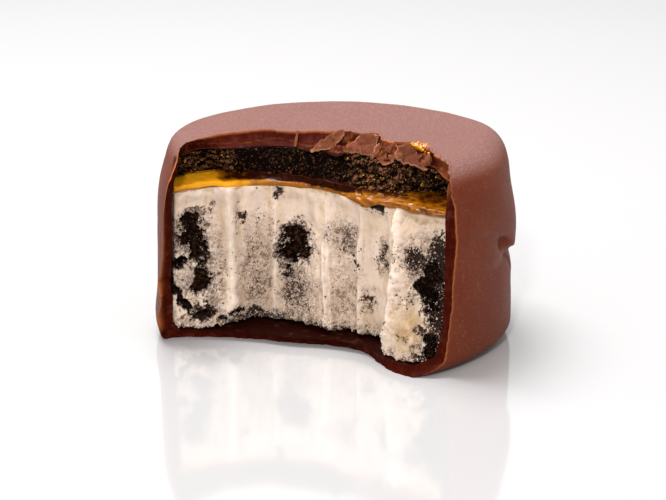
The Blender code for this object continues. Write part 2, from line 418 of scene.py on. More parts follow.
class Shader:
    """A node material built around one Principled BSDF, with coordinates in millimetres."""

    def __init__(self, name: str, **constants: object) -> None:
        """Make the material and set the constants, whose names hold _ for each space."""
        self.material = bpy.data.materials.new(name)
        self.material.use_nodes = True
        self.tree = self.material.node_tree
        self.surface = self.tree.nodes["Principled BSDF"]
        for key, value in constants.items():
            self.surface.inputs[key.replace("_", " ")].default_value = value
        place = self.tree.nodes.new("ShaderNodeTexCoord").outputs["Object"]
        self.place = self._node("ShaderNodeVectorMath", {0: place, "Scale": 1.0 / MM},
                                operation="SCALE").outputs[0]

    def _node(self, kind: str, inputs: dict[str | int, object], **settings: object) -> bpy.types.Node:
        """Add a node to the material."""
        return add_node(self.tree, kind, inputs, **settings)

    def stretched(self, x: float, y: float, z: float) -> Socket:
        """Return the coordinates multiplied along each axis."""
        return self._node("ShaderNodeVectorMath", {0: self.place, 1: (x, y, z)},
                          operation="MULTIPLY").outputs[0]

    def noise(self, size: float, detail: float, rough: float, place: Socket | None = None) -> Socket:
        """Return a noise value from 0 to 1 that changes over a size."""
        return self._node("ShaderNodeTexNoise", {"Vector": place or self.place, "Scale": 1.0 / size,
                                                 "Detail": detail, "Roughness": rough}).outputs["Fac"]

    def cells(self, size: float, output: str = "Distance") -> Socket:
        """Return the distance or random colour of cells of a size."""
        return self._node("ShaderNodeTexVoronoi",
                          {"Vector": self.place, "Scale": 1.0 / size}).outputs[output]

    def paint(self, name: str) -> Socket:
        """Return a value painted on the piece's points."""
        return self._node("ShaderNodeAttribute", {}, attribute_name=name).outputs["Fac"]

    def math(self, operation: str, a: object, b: object, clamp: bool = False) -> Socket:
        """Return the result of a math node."""
        return self._node("ShaderNodeMath", {0: a, 1: b}, operation=operation,
                          use_clamp=clamp).outputs[0]

    def times(self, a: object, b: object, clamp: bool = False) -> Socket:
        """Return a product."""
        return self.math("MULTIPLY", a, b, clamp)

    def plus(self, a: object, b: object) -> Socket:
        """Return a sum."""
        return self.math("ADD", a, b)

    def step(self, value: object, low: float, high: float) -> Socket:
        """Return 0 below low, 1 above high and a smooth step between them."""
        return self._node("ShaderNodeMapRange", {"Value": value, "From Min": low, "From Max": high},
                          interpolation_type="SMOOTHSTEP").outputs["Result"]

    def range(self, value: object, low: float, high: float) -> Socket:
        """Return a value from 0 to 1 as one from low to high."""
        return self._node("ShaderNodeMapRange",
                          {"Value": value, "To Min": low, "To Max": high}).outputs["Result"]

    def mix(self, share: object, a: object, b: object) -> Socket:
        """Return a colour mixed from a at share 0 to b at share 1."""
        return self._node("ShaderNodeMix", {0: share, MIX_A: a, MIX_B: b},
                          data_type="RGBA").outputs[MIX_RESULT]

    def bump(self, height: object, depth: float) -> Socket:
        """Return a normal bumped by a height from 0 to 1 that is depth millimetres deep."""
        return self._node("ShaderNodeBump", {"Strength": 1.0, "Distance": depth * MM,
                                             "Height": height}).outputs["Normal"]

    def wear(self, **sockets: object) -> Material:
        """Link or set sockets of the surface and return the material."""
        for key, value in sockets.items():
            feed(self.tree, self.surface.inputs[key.replace("_", " ")], value)
        return self.material


@dataclass(frozen=True)
class ChocolateFinish:
    """Milk chocolate's satin outside: bloom and a painted sheen on top, scuffs here and there."""

    bloomed: Triple = (0.133, 0.026, 0.0100)
    paler: Triple = (0.200, 0.052, 0.0245)
    # Bloom and a painted sheen on the top
    bloom_and_sheen: Triple = (0.238, 0.124, 0.109)
    # A painted glow on thin broken edges
    painted_edge_glow: Triple = (0.42, 0.125, 0.040)
    speck: Triple = (0.32, 0.155, 0.110)
    scuff: Triple = (0.28, 0.125, 0.085)

    def material(self) -> Material:
        """Build the node material."""
        made = Shader("chocolate", IOR=1.45, Specular_IOR_Level=0.07)
        cloud = made.step(made.noise(9.0, 4.0, 0.6), 0.35, 0.68)
        dust = made.step(made.noise(0.46, 3.0, 0.75), 0.44, 0.68)
        mottled = made.plus(made.times(cloud, 0.24), made.times(dust, 0.48))
        outside = made.mix(mottled, self.bloomed, self.paler)
        specked = made.plus(made.times(dust, 0.58), 0.56)
        # The top: paler and greyer with bloom and a painted sheen
        outside = made.mix(made.times(made.paint("bloom"), specked), outside, self.bloom_and_sheen)
        dots = made.math("SUBTRACT", 1.0, made.step(made.cells(1.2), 0.08, 0.19))
        dots = made.times(dots, made.step(made.noise(5.0, 3.0, 0.6), 0.38, 0.55))
        outside = made.mix(made.times(dots, 0.42), outside, self.speck)
        scuffs = made.noise(0.5, 2.0, 0.5, made.stretched(1.0, 1.0, 0.14))
        scuff_zone = made.step(made.noise(7.0, 2.0, 0.5), 0.5, 0.66)
        scuffed = made.times(made.step(scuffs, 0.60, 0.72), scuff_zone)
        outside = made.mix(made.times(scuffed, 0.34), outside, self.scuff)
        # A painted glow beside and along the broken edges, where the paint called edge is high
        colour = made.mix(made.paint("edge"), outside, self.painted_edge_glow)
        grain = made.noise(0.34, 3.0, 0.65)
        pits = made.step(made.cells(1.9), 0.0, 0.12)
        normal = made.bump(made.times(made.plus(grain, pits), 0.5), 0.34)
        return made.wear(Base_Color=colour, Roughness=0.44, Normal=normal)


@dataclass(frozen=True)
class BrokenChocolateFinish:
    """The same chocolate broken or facing the filling: dark, waxy, not hazed, with painted shade inside."""

    name: str = "broken_chocolate"
    broken: Triple = (0.040, 0.0030, 0.0008)
    warmer: Triple = (0.088, 0.0120, 0.0038)
    # Painted shade, near black
    painted_shade: Triple = (0.012, 0.0016, 0.0007)
    smeared: Triple = (0.160, 0.062, 0.036)
    painted_edge_glow: Triple = (0.42, 0.125, 0.040)

    def material(self) -> Material:
        """Build the node material."""
        made = Shader(self.name, IOR=1.40, Roughness=0.5, Specular_IOR_Level=0.03)
        streak = made.step(made.noise(1.4, 5.0, 0.65), 0.42, 0.72)
        inside = made.mix(made.times(streak, 0.6), self.broken, self.warmer)
        # Painted shade on the inner faces, the plate under the ice and chip facets by their tilt
        inside = made.mix(made.times(made.paint("bloom"), 0.9), inside, self.painted_shade)
        smears = made.step(made.noise(2.4, 4.0, 0.65), 0.54, 0.68)
        inside = made.mix(made.times(smears, 0.20), inside, self.smeared)
        # A painted glow along the broken edges and painted highlights between facets, with a paler seam line
        colour = made.mix(made.paint("edge"), inside, self.painted_edge_glow)
        normal = made.bump(made.noise(0.5, 4.0, 0.65), 0.12)
        return made.wear(Base_Color=colour, Normal=normal)


@dataclass(frozen=True)
class IceCreamFinish:
    """Pale ice cream: warm and smooth where teeth slid over it, grey and frosty elsewhere."""

    cream: Triple = (0.76, 0.60, 0.485)
    yolk: Triple = (0.75, 0.55, 0.375)
    # Partly a warmer tint, partly painted shade
    butter: Triple = (0.46, 0.30, 0.155)
    # Painted highlight on crests
    crest_highlight: Triple = (0.86, 0.725, 0.61)
    frost: Triple = (0.76, 0.605, 0.475)
    shaded: Triple = (0.44, 0.305, 0.210)
    # Painted shade in hollows and under the lower edge
    hollow: Triple = (0.14, 0.076, 0.046)
    fleck: Triple = (0.105, 0.045, 0.022)
    smudge: Triple = (0.25, 0.165, 0.125)
    brown: Triple = (0.135, 0.058, 0.028)
    black: Triple = (0.010, 0.0045, 0.0035)

    def material(self) -> Material:
        """Build the node material."""
        made = Shader("ice_cream", Subsurface_Weight=0.18, Subsurface_Scale=0.0004,
                      Subsurface_Radius=(1.0, 0.75, 0.55), IOR=1.36, Specular_IOR_Level=0.22)
        frost, crumbs, stain = (made.paint(name) for name in ("frost", "crumbs", "stain"))
        streaks = made.noise(1.3, 4.0, 0.6, made.stretched(1.0, 1.0, 0.10))
        colour = made.mix(made.step(streaks, 0.42, 0.70), self.cream, self.yolk)
        mottled = made.times(frost, made.range(made.noise(0.9, 5.0, 0.7), 0.4, 1.4), True)
        crystals = made.step(made.noise(0.34, 3.0, 0.75), 0.40, 0.62)
        colour = made.mix(mottled, colour, made.mix(crystals, self.shaded, self.frost))
        # Darker and yellower: partly a warmer tint, partly painted shade
        colour = made.mix(made.times(made.paint("butter"), 0.9), colour, self.butter)
        # Painted highlights on the face's crests
        lit = made.times(made.paint("crest"), made.range(made.noise(2.0, 3.0, 0.6), 0.1, 0.9))
        colour = made.mix(lit, colour, self.crest_highlight)
        clustered = made.plus(made.noise(0.5, 3.0, 0.75), made.times(made.noise(1.9, 4.0, 0.65), 0.9))
        flecks = made.step(clustered, 0.955, 1.035)
        flecked = made.times(flecks, made.range(frost, 0.06, 0.88))
        colour = made.mix(flecked, colour, self.fleck)
        # Painted shade in the face's hollows and pits and under its lower edge
        colour = made.mix(made.times(made.paint("pit"), 0.85, True), colour, self.hollow)
        cloud = made.step(made.noise(1.5, 5.0, 0.7), 0.40, 0.66)
        colour = made.mix(made.times(made.times(crumbs, 0.62), cloud, True), colour, self.smudge)
        ragged = made.noise(0.62, 5.0, 0.72)
        tone = made.step(made.noise(0.6, 3.0, 0.75), 0.46, 0.66)
        crumb_colour = made.mix(tone, self.black, self.brown)
        dense = made.plus(ragged, made.times(crumbs, 0.135))
        pepper = made.times(made.step(dense, 0.65, 0.72), 0.8)
        colour = made.mix(pepper, colour, crumb_colour)
        soaked = made.plus(made.noise(0.8, 5.0, 0.75), made.times(stain, 0.28))
        colour = made.mix(made.step(soaked, 0.66, 0.76), colour, crumb_colour)
        # Near black where the stain paint is heaviest, as inside the holes and pockets
        near_black = made.mix(made.times(tone, 0.35), self.black, self.brown)
        colour = made.mix(made.step(stain, 1.0, 1.5), colour, near_black)
        fine = made.times(made.noise(0.20, 3.0, 0.75), made.range(frost, 0.3, 1.0))
        roughness = made.range(frost, 0.38, 0.75)
        return made.wear(Base_Color=colour, Roughness=roughness, Normal=made.bump(fine, 0.10))


@dataclass(frozen=True)
class CrumbFinish:
    """Dark crumb of a cocoa biscuit or cookie, browner where the shade paint is higher, with sugar and
    painted glints.
    """

    name: str
    dark: Triple
    brown: Triple
    grain: float
    sugar_and_glint: Triple = (0.52, 0.36, 0.22)

    def material(self) -> Material:
        """Build the node material."""
        made = Shader(self.name, IOR=1.4, Specular_IOR_Level=0.04)
        tone = made.plus(made.range(made.noise(self.grain, 3.0, 0.8), -1.5, 1.5),
                         made.range(made.cells(1.5 * self.grain, "Color"), -0.9, 0.9))
        share = made.step(made.plus(made.paint("shade"), tone), 0.40, 1.20)
        colour = made.mix(share, self.dark, self.brown)
        # Bright specks: partly sugar, partly painted glints
        sparkle = made.step(made.noise(self.grain * 0.9, 2.0, 0.6), 0.68, 0.74)
        colour = made.mix(made.times(sparkle, 0.7), colour, self.sugar_and_glint)
        normal = made.bump(made.noise(self.grain, 4.0, 0.75), 0.14)
        return made.wear(Base_Color=colour, Roughness=0.8, Normal=normal)


@dataclass(frozen=True)
class CaramelFinish:
    """Glossy amber caramel, yellow where it is thin and brown where it is thick."""

    name: str = "caramel"
    gloss: float = 0.25
    thin: Triple = (0.86, 0.37, 0.008)
    middle: Triple = (0.31, 0.098, 0.0020)
    thick: Triple = (0.026, 0.0036, 0.0007)

    def material(self) -> Material:
        """Build the node material."""
        made = Shader(self.name, Roughness=0.07, Subsurface_Weight=0.35, Subsurface_Scale=0.0008,
                      Subsurface_Radius=(1.0, 0.40, 0.06), IOR=1.46, Specular_IOR_Level=self.gloss)
        blotch = made.range(made.noise(2.0, 4.0, 0.6), -0.45, 0.45)
        deep = made.plus(made.paint("deep"), blotch)
        colour = made.mix(made.step(deep, 0.0, 0.5), self.thin, self.middle)
        colour = made.mix(made.step(deep, 0.5, 1.0), colour, self.thick)
        normal = made.bump(made.noise(1.5, 2.0, 0.5), 0.12)
        return made.wear(Base_Color=colour, Normal=normal)


@dataclass(frozen=True)
class FrostFinish:
    """Loose white frost crystals."""

    colour: Triple = (0.70, 0.57, 0.47)
    greyer: Triple = (0.42, 0.31, 0.25)

    def material(self) -> Material:
        """Build the node material."""
        made = Shader("frost", Subsurface_Weight=0.2, Subsurface_Scale=0.0003,
                      Subsurface_Radius=(1.0, 0.9, 0.8), IOR=1.31)
        colour = made.mix(made.paint("shade"), self.colour, self.greyer)
        return made.wear(Base_Color=colour, Roughness=0.5)


# --------------------------------------------------------------------------- the cake's form


@dataclass
class CakeForm:
    """The coat's outer face and the space inside it, read from the frame's boxes."""

    radius: float
    height: float
    plate: float
    wall: float
    ice_top: float
    caramel_top: float
    biscuit_top: float
    dome_rise: float = 0.1
    shoulder_turns: tuple[float, float] = (75.0, 115.0)
    shoulder_rounds: tuple[float, float] = (6.0, 2.8)
    shoulder_leans: tuple[float, float] = (16.0, 4.5)
    taper_start: float = 25.0
    base_round: float = 3.6
    foot_turn: float = -80.0
    foot_width: float = 32.0
    foot_round: float = 1.6
    fold_proud: float = 1.2
    fold_high: float = 25.5
    fold_low: float = 17.0
    fold_turns: tuple[float, float, float, float] = (46.0, 84.0, 104.0, 140.0)
    fold_starts: float = 57.0
    fold_fade: float = 33.0
    fold_softness: float = 0.8
    clearance: float = 0.3
    waves: Noise = field(default_factory=lambda: Noise(11))

    @classmethod
    def from_frame(cls) -> CakeForm:
        """Read the sizes from the CAD nodes' boxes."""
        coat_low, coat_high = (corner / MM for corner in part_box("chocolate_coating"))
        ice_low, ice_high = (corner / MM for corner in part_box("ice_cream"))
        caramel_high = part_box("caramel")[1] / MM
        biscuit_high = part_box("biscuit")[1] / MM
        clearance = cls.clearance
        return cls(radius=-coat_low.x, height=coat_high.z, plate=ice_low.z - clearance,
                   wall=-coat_low.x - ice_high.x - clearance, ice_top=ice_high.z + clearance,
                   caramel_top=caramel_high.z, biscuit_top=biscuit_high.z + clearance)

    def shoulder(self, turn: Array) -> tuple[Array, Array]:
        """Return the top edge's rounding and the side's slope, in radians, where it begins."""
        share = ease(*self.shoulder_turns, np.abs(turn))
        (soft, tight), (slanted, upright) = self.shoulder_rounds, self.shoulder_leans
        return soft + (tight - soft) * share, np.radians(slanted + (upright - slanted) * share)

    def lean_in(self, z: Array, turn: Array) -> Array:
        """Return how far the side has leaned in at a height."""
        rounding, lean = self.shoulder(turn)
        start = self.height - self.dome_rise - rounding * (1.0 - np.sin(lean))
        above = np.clip(z, self.taper_start, start) - self.taper_start
        return 0.5 * np.tan(lean) * above ** 2 / (start - self.taper_start)

    def swelling(self, turn: Array, z: Array) -> Array:
        """Return how far the fold at the right side stands out of round."""
        start, full, fading, gone = self.fold_turns
        along = ease(self.fold_starts, full, turn) * (1.0 - ease(fading, gone, turn))
        step = self.fold_high + (self.fold_low - self.fold_high) * ease(start + 8.0, full + 4.0, turn)
        above = ease(-self.fold_softness, self.fold_softness, z - step)
        faded = ease(0.0, 1.0, (z - step - 4.0) / (self.fold_fade - step - 4.0))
        return self.fold_proud * along * above * (1.0 - faded)

    def outer_gap(self, points: Array) -> Array:
        """Return the distance outside the coat's outer face, negative within it."""
        x, y, z = points.T
        turn = np.degrees(np.arctan2(x, -y))
        near_foot = 1.0 - ease(0.0, self.foot_width, np.abs(turn - self.foot_turn))
        low_round = self.base_round + (self.foot_round - self.base_round) * near_foot
        r = np.hypot(x, y) + self.lean_in(z, turn) - self.swelling(turn, z)
        rounding = np.where(z > self.height / 2, self.shoulder(turn)[0], low_round)
        crown = z + self.dome_rise * np.minimum(r / self.radius, 1.2) ** 2
        along_z = np.where(z > self.height / 2, crown - self.height, -z) + rounding
        along_r = r - self.radius + rounding
        outside = np.hypot(np.maximum(along_r, 0.0), np.maximum(along_z, 0.0))
        return outside + np.minimum(np.maximum(along_r, along_z), 0.0) - rounding

    def inner_radius(self, z: Array) -> Array:
        """Return the radius of the space inside the coat at a height."""
        corner = np.maximum(0.0, self.plate + 1.5 - z)
        shoulder = 1.8 * ease(self.caramel_top, self.biscuit_top, z)
        leaned = self.lean_in(np.minimum(z, self.caramel_top), 0.0)
        return self.radius - self.wall - leaned - corner - shoulder

    def inner_gap(self, points: Array) -> Array:
        """Return how far points are outside the space inside the coat."""
        x, y, z = points.T
        aside = np.hypot(x, y) - self.inner_radius(z)
        return np.maximum(aside, np.maximum(self.plate - z, z - self.biscuit_top))

    def relief(self, points: Array) -> Array:
        """Return how far the hand-dipped coat stands out of its plain form."""
        x, y, z = points.T
        turn = np.degrees(np.arctan2(x, -y))
        # The unevenness of a dipped coat
        waves = 0.15 * self.waves.smooth(points, 13.0) + 0.06 * self.waves.smooth(points, 5.0)
        waves += 0.018 * self.waves.smooth(points, 1.3)
        # The left side: a swollen foot under a flatter, rounded-off wall
        left = bell(turn + 88.0, 40.0)
        waves += left * (0.5 * bell(z - 4.5, 3.5) - 0.25 * bell(z - 28.0, 7.0))
        waves -= left * (0.12 + 0.55 * bell(z - 35.0, 3.4)) * ease(8.0, 14.0, z)
        # The right side: a thick foot, a crease over it and a full shoulder
        right = ease(48.0, 80.0, turn) * (1.0 - ease(110.0, 150.0, turn))
        waves += 0.5 * right * (1.0 - ease(13.0, 17.0, z)) - 0.5 * right * bell(z - 17.2, 1.0)
        waves += 0.6 * right * bell(z - 34.5, 3.6)
        # A pit beside the crease, and the hollow under the fold
        waves -= 1.15 * bell(turn - 71.5, 3.6) * bell(z - 20.4 + 0.12 * (turn - 72.0), 1.25)
        under_fold = 24.8 - 0.012 * (turn - 54.0) ** 2 - z
        along_fold = ease(41.0, 50.0, turn) * (1.0 - ease(80.0, 90.0, turn))
        waves -= 0.42 * along_fold * ease(-0.5, 0.3, under_fold) * (1.0 - ease(0.3, 5.0, under_fold))
        return waves * ease(0.0, 3.0, z)

    def on_outside(self, directions: Array, centre: Array) -> Array:
        """Return points of the coat's outer face, with its waves, along rays out of a centre."""
        points = settle(directions, centre, self.outer_gap)
        nudge = 0.02 * np.eye(3)
        slope = [self.outer_gap(points + step) - self.outer_gap(points - step) for step in nudge]
        return points + unit(np.stack(slope, axis=1)) * self.relief(points)[:, None]


# The broken edge of the coat, all the way round the bite, as x, y, z of its outer line and of its inner
# one. It starts at the left foot and runs up, across the top, down the right side and back.
LEFT_BREAK = (
    (-33.0, -8.2, 1.2, -30.7, -7.0, 2.2), (-33.1, -7.8, 4.5, -30.9, -7.0, 4.5),
    (-32.5, -9.9, 8.2, -31.0, -6.6, 8.0), (-33.5, -5.6, 11.0, -31.2, -5.0, 11.0),
    (-32.9, -8.6, 13.5, -31.0, -6.6, 13.5), (-32.3, -10.7, 18.5, -30.5, -8.2, 18.0),
    (-32.0, -11.4, 25.5, -30.3, -8.6, 25.0), (-31.3, -11.5, 31.0, -29.9, -7.8, 30.0),
    (-30.3, -11.4, 34.2, -29.6, -6.0, 33.0), (-29.6, -9.4, 36.3, -29.0, -3.0, 34.8),
)
TOP_BREAK = (
    (-28.9, -3.8, 37.4, -27.9, 0.0, 35.3), (-27.2, 0.0, 37.9, -25.5, 2.8, 35.3),
    (-24.6, 3.0, 37.9, -22.5, 3.2, 35.3), (-21.4, 6.0, 37.9, -19.5, 2.8, 35.3),
    (-17.6, 7.2, 37.9, -16.0, 4.0, 35.3), (-13.5, 8.8, 37.9, -12.6, 4.8, 35.3),
    (-9.9, 7.4, 37.9, -9.6, 4.8, 35.3), (-6.9, 6.8, 37.9, -7.0, 3.4, 35.3),
    (-4.4, 6.8, 37.9, -4.8, 1.0, 35.3), (-1.6, 6.4, 37.9, -2.4, 1.6, 35.3),
    (0.6, 6.4, 37.9, 0.4, -2.6, 35.3), (2.7, 6.2, 37.9, 2.2, -1.0, 35.3),
    (4.4, 5.2, 37.9, 3.8, 1.6, 35.3), (5.5, 3.2, 37.9, 5.6, 1.2, 35.3),
    (7.2, 3.9, 37.9, 6.8, -1.2, 35.3), (8.6, 2.9, 37.9, 8.2, -4.2, 35.3),
    (9.4, -1.0, 37.9, 10.0, -5.8, 35.3), (11.5, -3.0, 37.9, 11.9, -4.6, 35.3),
    (13.7, -3.0, 37.9, 13.6, -7.2, 35.3), (15.8, -3.9, 37.9, 15.9, -9.6, 35.3),
    (17.4, -7.0, 37.9, 17.6, -9.0, 35.3), (18.9, -11.8, 37.8, 18.9, -11.6, 35.2),
)
RIGHT_BREAK = (
    (20.3, -17.8, 37.2, 19.6, -17.0, 34.8), (20.9, -22.0, 36.4, 20.0, -19.8, 33.8),
    (21.4, -24.4, 34.2, 20.2, -21.8, 32.2), (22.1, -25.2, 30.5, 20.2, -23.6, 29.6),
    (22.4, -25.5, 26.0, 20.3, -24.1, 25.5), (22.0, -26.0, 20.0, 20.4, -24.2, 20.0),
    (21.7, -26.2, 13.5, 20.3, -24.3, 13.5), (21.1, -26.7, 7.5, 19.8, -24.7, 7.5),
    (20.4, -27.0, 3.2, 19.0, -25.6, 3.6),
)
PLATE_BREAK = (
    (18.4, -28.3, 1.2, 17.6, -26.8, 2.0), (15.6, -27.9, 0.2, 15.4, -26.6, 1.9),
    (12.9, -26.7, 0.0, 13.1, -25.7, 1.9), (10.4, -23.7, 0.0, 10.9, -23.2, 1.9),
    (8.3, -19.6, 0.0, 8.6, -20.4, 1.9), (5.6, -14.0, 0.0, 5.6, -15.4, 1.9),
    (-0.8, -10.6, 0.0, -0.8, -12.2, 1.9), (-7.9, -9.1, 0.0, -7.9, -10.8, 1.9),
    (-15.0, -7.0, 0.0, -15.0, -8.4, 1.9), (-23.8, -5.8, 0.0, -24.0, -6.8, 1.9),
    (-30.4, -6.2, 0.0, -29.4, -6.4, 1.9),
)


@dataclass
class Coating:
    """The chocolate coat: outer face, broken edge and inner face in one closed skin."""

    form: CakeForm
    finish: ChocolateFinish = ChocolateFinish()
    broken_finish: BrokenChocolateFinish = BrokenChocolateFinish()
    columns: int = 1152
    band_rows: int = 22
    first_step: float = 0.10
    step_growth: float = 1.28
    widest_step: float = 0.72
    jag: float = 0.22
    way_back: float = 96.0
    facet_size: float = 3.0
    noise: Noise = field(default_factory=lambda: Noise(23))

    def __post_init__(self) -> None:
        """Work out the break's two lines."""
        pairs = np.array(LEFT_BREAK + TOP_BREAK + RIGHT_BREAK + PLATE_BREAK, float)
        places = even_places(pairs[:, :3], self.columns, closed=True)
        lines = spline(pairs, places, closed=True)
        self.centre = np.array([-2.0, 10.0, 0.48 * self.form.height])
        self.back = np.array([0.0, 1.0, 0.0])
        outer, inner = lines[:, :3], lines[:, 3:]
        self.even_ways = unit(outer - self.centre)
        along = np.roll(outer, -1, axis=0) - np.roll(outer, 1, axis=0)
        across = unit(np.cross(along, self.even_ways))
        on_top = ease(33.0, 37.0, outer[:, 2]) * ease(-8.0, 0.0, outer[:, 0])
        wobble = self.noise.rough(outer, 1.8, 4, 0.6) * self.jag * (1.0 + 1.6 * on_top)
        outer = outer + across * wobble[:, None]
        self.outer_ways = unit(outer - self.centre)
        self.outer = self.form.on_outside(self.outer_ways, self.centre)
        self.inner_ways = unit(inner - self.centre)
        self.inner = settle(self.inner_ways, self.centre, self.form.inner_gap)

    def _shares(self) -> list[float]:
        """Return the shares of the way to the back at which the outer loops lie."""
        shares, reached, step = [], 0.0, self.first_step
        while reached + step < self.way_back - self.widest_step:
            reached += step
            shares.append(reached / self.way_back)
            step = min(step * self.step_growth, self.widest_step)
        return shares

    def _outside(self, skin: LoopSkin) -> None:
        """Add the outer face's loops, from the back to the break."""
        loops = []
        for share in self._shares():
            # Fewer points towards the back, and an even spacing soon after the jagged break
            skip = 1 + (share > 0.03) + 2 * (share > 0.55) + 4 * (share > 0.85)
            even = min(1.0, share / 0.04)
            ways = unit(self.outer_ways + (self.even_ways - self.outer_ways) * even)
            ways = turn_towards(ways[::skip], self.back, share)
            loops.append((self.form.on_outside(ways, self.centre), share))
        # Paint bloom and a painted sheen on the top, and a painted glow beside the break
        for loop, share in reversed(loops):
            bloom = ease(self.form.height - 3.2, self.form.height - 0.4, loop[:, 2])
            edge = 0.5 * math.exp(-((share * self.way_back) / 0.25) ** 2)
            skin.add(loop, edge=edge, bloom=bloom)
        skin.add(self.outer, edge=0.9 * ease(1.0, 4.0, self.outer[:, 2]), fresh=0.7)

    def _break_depth(self, points: Array, share: float) -> tuple[Array, Array]:
        """Work out the broken edge's relief.

        Args:
            points: the plain band's points at one share of the way in.
            share: that share, from 0 at the outer line to 1 at the inner one.

        Returns:
            How far the points stand out of the band, and how strongly painted glow, highlights and a seam
            show.
        """
        # A scooped band, which at the right of the top breaks into flat facets
        x, z = self.outer[:, 0], self.outer[:, 2]
        width = np.linalg.norm(self.outer - self.inner, axis=1)
        top = ease(33.0, 36.5, z)
        chunky = top * ease(-2.0, 3.0, x) * (1.0 - ease(19.5, 20.5, x))
        inside = math.sin(math.pi * share) ** 0.7
        scoop = -0.13 * width * (1.0 - 0.4 * chunky)
        near, second, offset, number = self.noise.cells(points, self.facet_size)
        tilts = self.noise.slopes[number]
        facets = 1.7 * np.einsum("ij,ij->i", tilts, offset) + 0.45 * tilts[:, 0]
        soft = 0.10 * self.noise.rough(points, 2.4, 3) + 0.03 * self.noise.smooth(points, 0.5)
        depth = inside * (scoop + chunky * facets + soft)
        # Painted highlights between facets, a paler seam line at the left of the top, and a painted glow
        # along both edges
        crest = bell(second - near, 0.06) * chunky * inside
        seam_at = 0.50 + 0.12 * self.noise.smooth(self.outer, 6.0)
        plain_top = top * (1.0 - chunky)
        seam = bell(share - seam_at, 0.03) * plain_top
        depth = depth - 0.16 * ease(-0.03, 0.03, share - seam_at) * plain_top * inside
        rim = bell(share * width, 0.26 + 0.50 * (x < -26.0) * (1.0 - top)) * ease(1.0, 4.0, z)
        pale = 0.7 * crest + 0.2 * seam + rim + 0.3 * bell((1.0 - share) * width, 0.12) * top
        # Painted light on the top's break near x = 11 and at its right end
        pale = pale + 0.22 * top * (bell(x - 11.0, 2.0) + ease(18.5, 20.5, x))
        return depth, np.clip(pale, 0.0, 1.0)

    def _break(self, skin: LoopSkin) -> None:
        """Add the loops across the broken edge."""
        along = np.roll(self.outer, -1, axis=0) - np.roll(self.outer, 1, axis=0)
        facing = unit(np.cross(self.inner - self.outer, along))
        for k in range(1, self.band_rows):
            share = 0.5 - 0.5 * math.cos(math.pi * k / self.band_rows)
            plain = self.outer + (self.inner - self.outer) * share
            depth, pale = self._break_depth(plain, share)
            skin.add(plain + facing * depth[:, None], edge=pale, fresh=1.0)

    def _inside(self, skin: LoopSkin) -> None:
        """Add the inner face's loops, from the break to the back."""
        # Painted shade: the inner faces near black, and the inner break line darker low down by the plate
        deep = 1.0 - 0.6 * ease(3.0, 5.0, self.inner[:, 2])
        skin.add(self.inner, fresh=1.0, bloom=0.5 * deep)
        shares = ((1, 0.004), (1, 0.010), (2, 0.020), (2, 0.034), (2, 0.052), (2, 0.075), (4, 0.11),
                  (4, 0.16), (8, 0.23), (8, 0.32), (16, 0.45), (16, 0.6), (16, 0.75), (16, 0.9))
        for skip, share in shares:
            ways = turn_towards(self.inner_ways[::skip], self.back, share)
            skin.add(settle(ways, self.centre, self.form.inner_gap), fresh=1.0, bloom=1.0)

    def make(self) -> Piece:
        """Make the coat."""
        skin = LoopSkin("fresh", "edge", "bloom")
        self._outside(skin)
        self._break(skin)
        self._inside(skin)
        piece = skin.make("chocolate_coat", self.finish.material())
        dress_by_paint(piece, "fresh", self.broken_finish.material())
        return finish_piece(piece, Slot.CHOCOLATE, "chocolate_coating")


# --------------------------------------------------------------------------- the bitten face

# The bite seen from above, as (x, y) from its left edge to its right one, at a few heights
ICE_FOOT = ((-31.1, -6.0), (-25.0, -7.5), (-20.0, -6.0), (-14.0, -2.5), (-9.5, -4.0), (-3.0, -9.0),
            (4.5, -10.5), (8.5, -15.5), (11.5, -23.4), (15.5, -27.0), (20.5, -25.0))
ICE_MIDDLE = ((-30.5, -4.8), (-25.0, -3.5), (-20.0, -3.0), (-14.0, -1.0), (-9.0, -1.5), (-3.0, -5.5),
              (4.0, -8.5), (9.0, -13.0), (12.0, -20.0), (15.5, -22.5), (21.0, -23.0))
ICE_HEAD = ((-30.2, -3.4), (-25.0, 0.0), (-19.5, 1.0), (-13.5, 2.0), (-8.0, 1.0), (-2.0, -1.5),
            (4.0, -8.0), (8.5, -12.0), (12.5, -12.5), (16.0, -16.5), (20.5, -20.0))
BISCUIT_FOOT = ((-30.5, 2.0), (-25.5, 7.0), (-19.0, 5.5), (-13.0, 4.0), (-6.5, 2.0), (-0.5, -2.5),
                (4.5, -6.0), (9.0, -9.5), (12.5, -10.5), (16.0, -8.0), (22.5, -9.0))
BISCUIT_HEAD = ((-30.5, -1.0), (-25.5, 3.1), (-19.0, 2.9), (-13.0, 4.6), (-6.8, 3.2), (-1.5, 1.6),
                (3.4, 0.4), (8.2, -4.0), (12.5, -5.8), (16.2, -9.0), (20.5, -13.0))


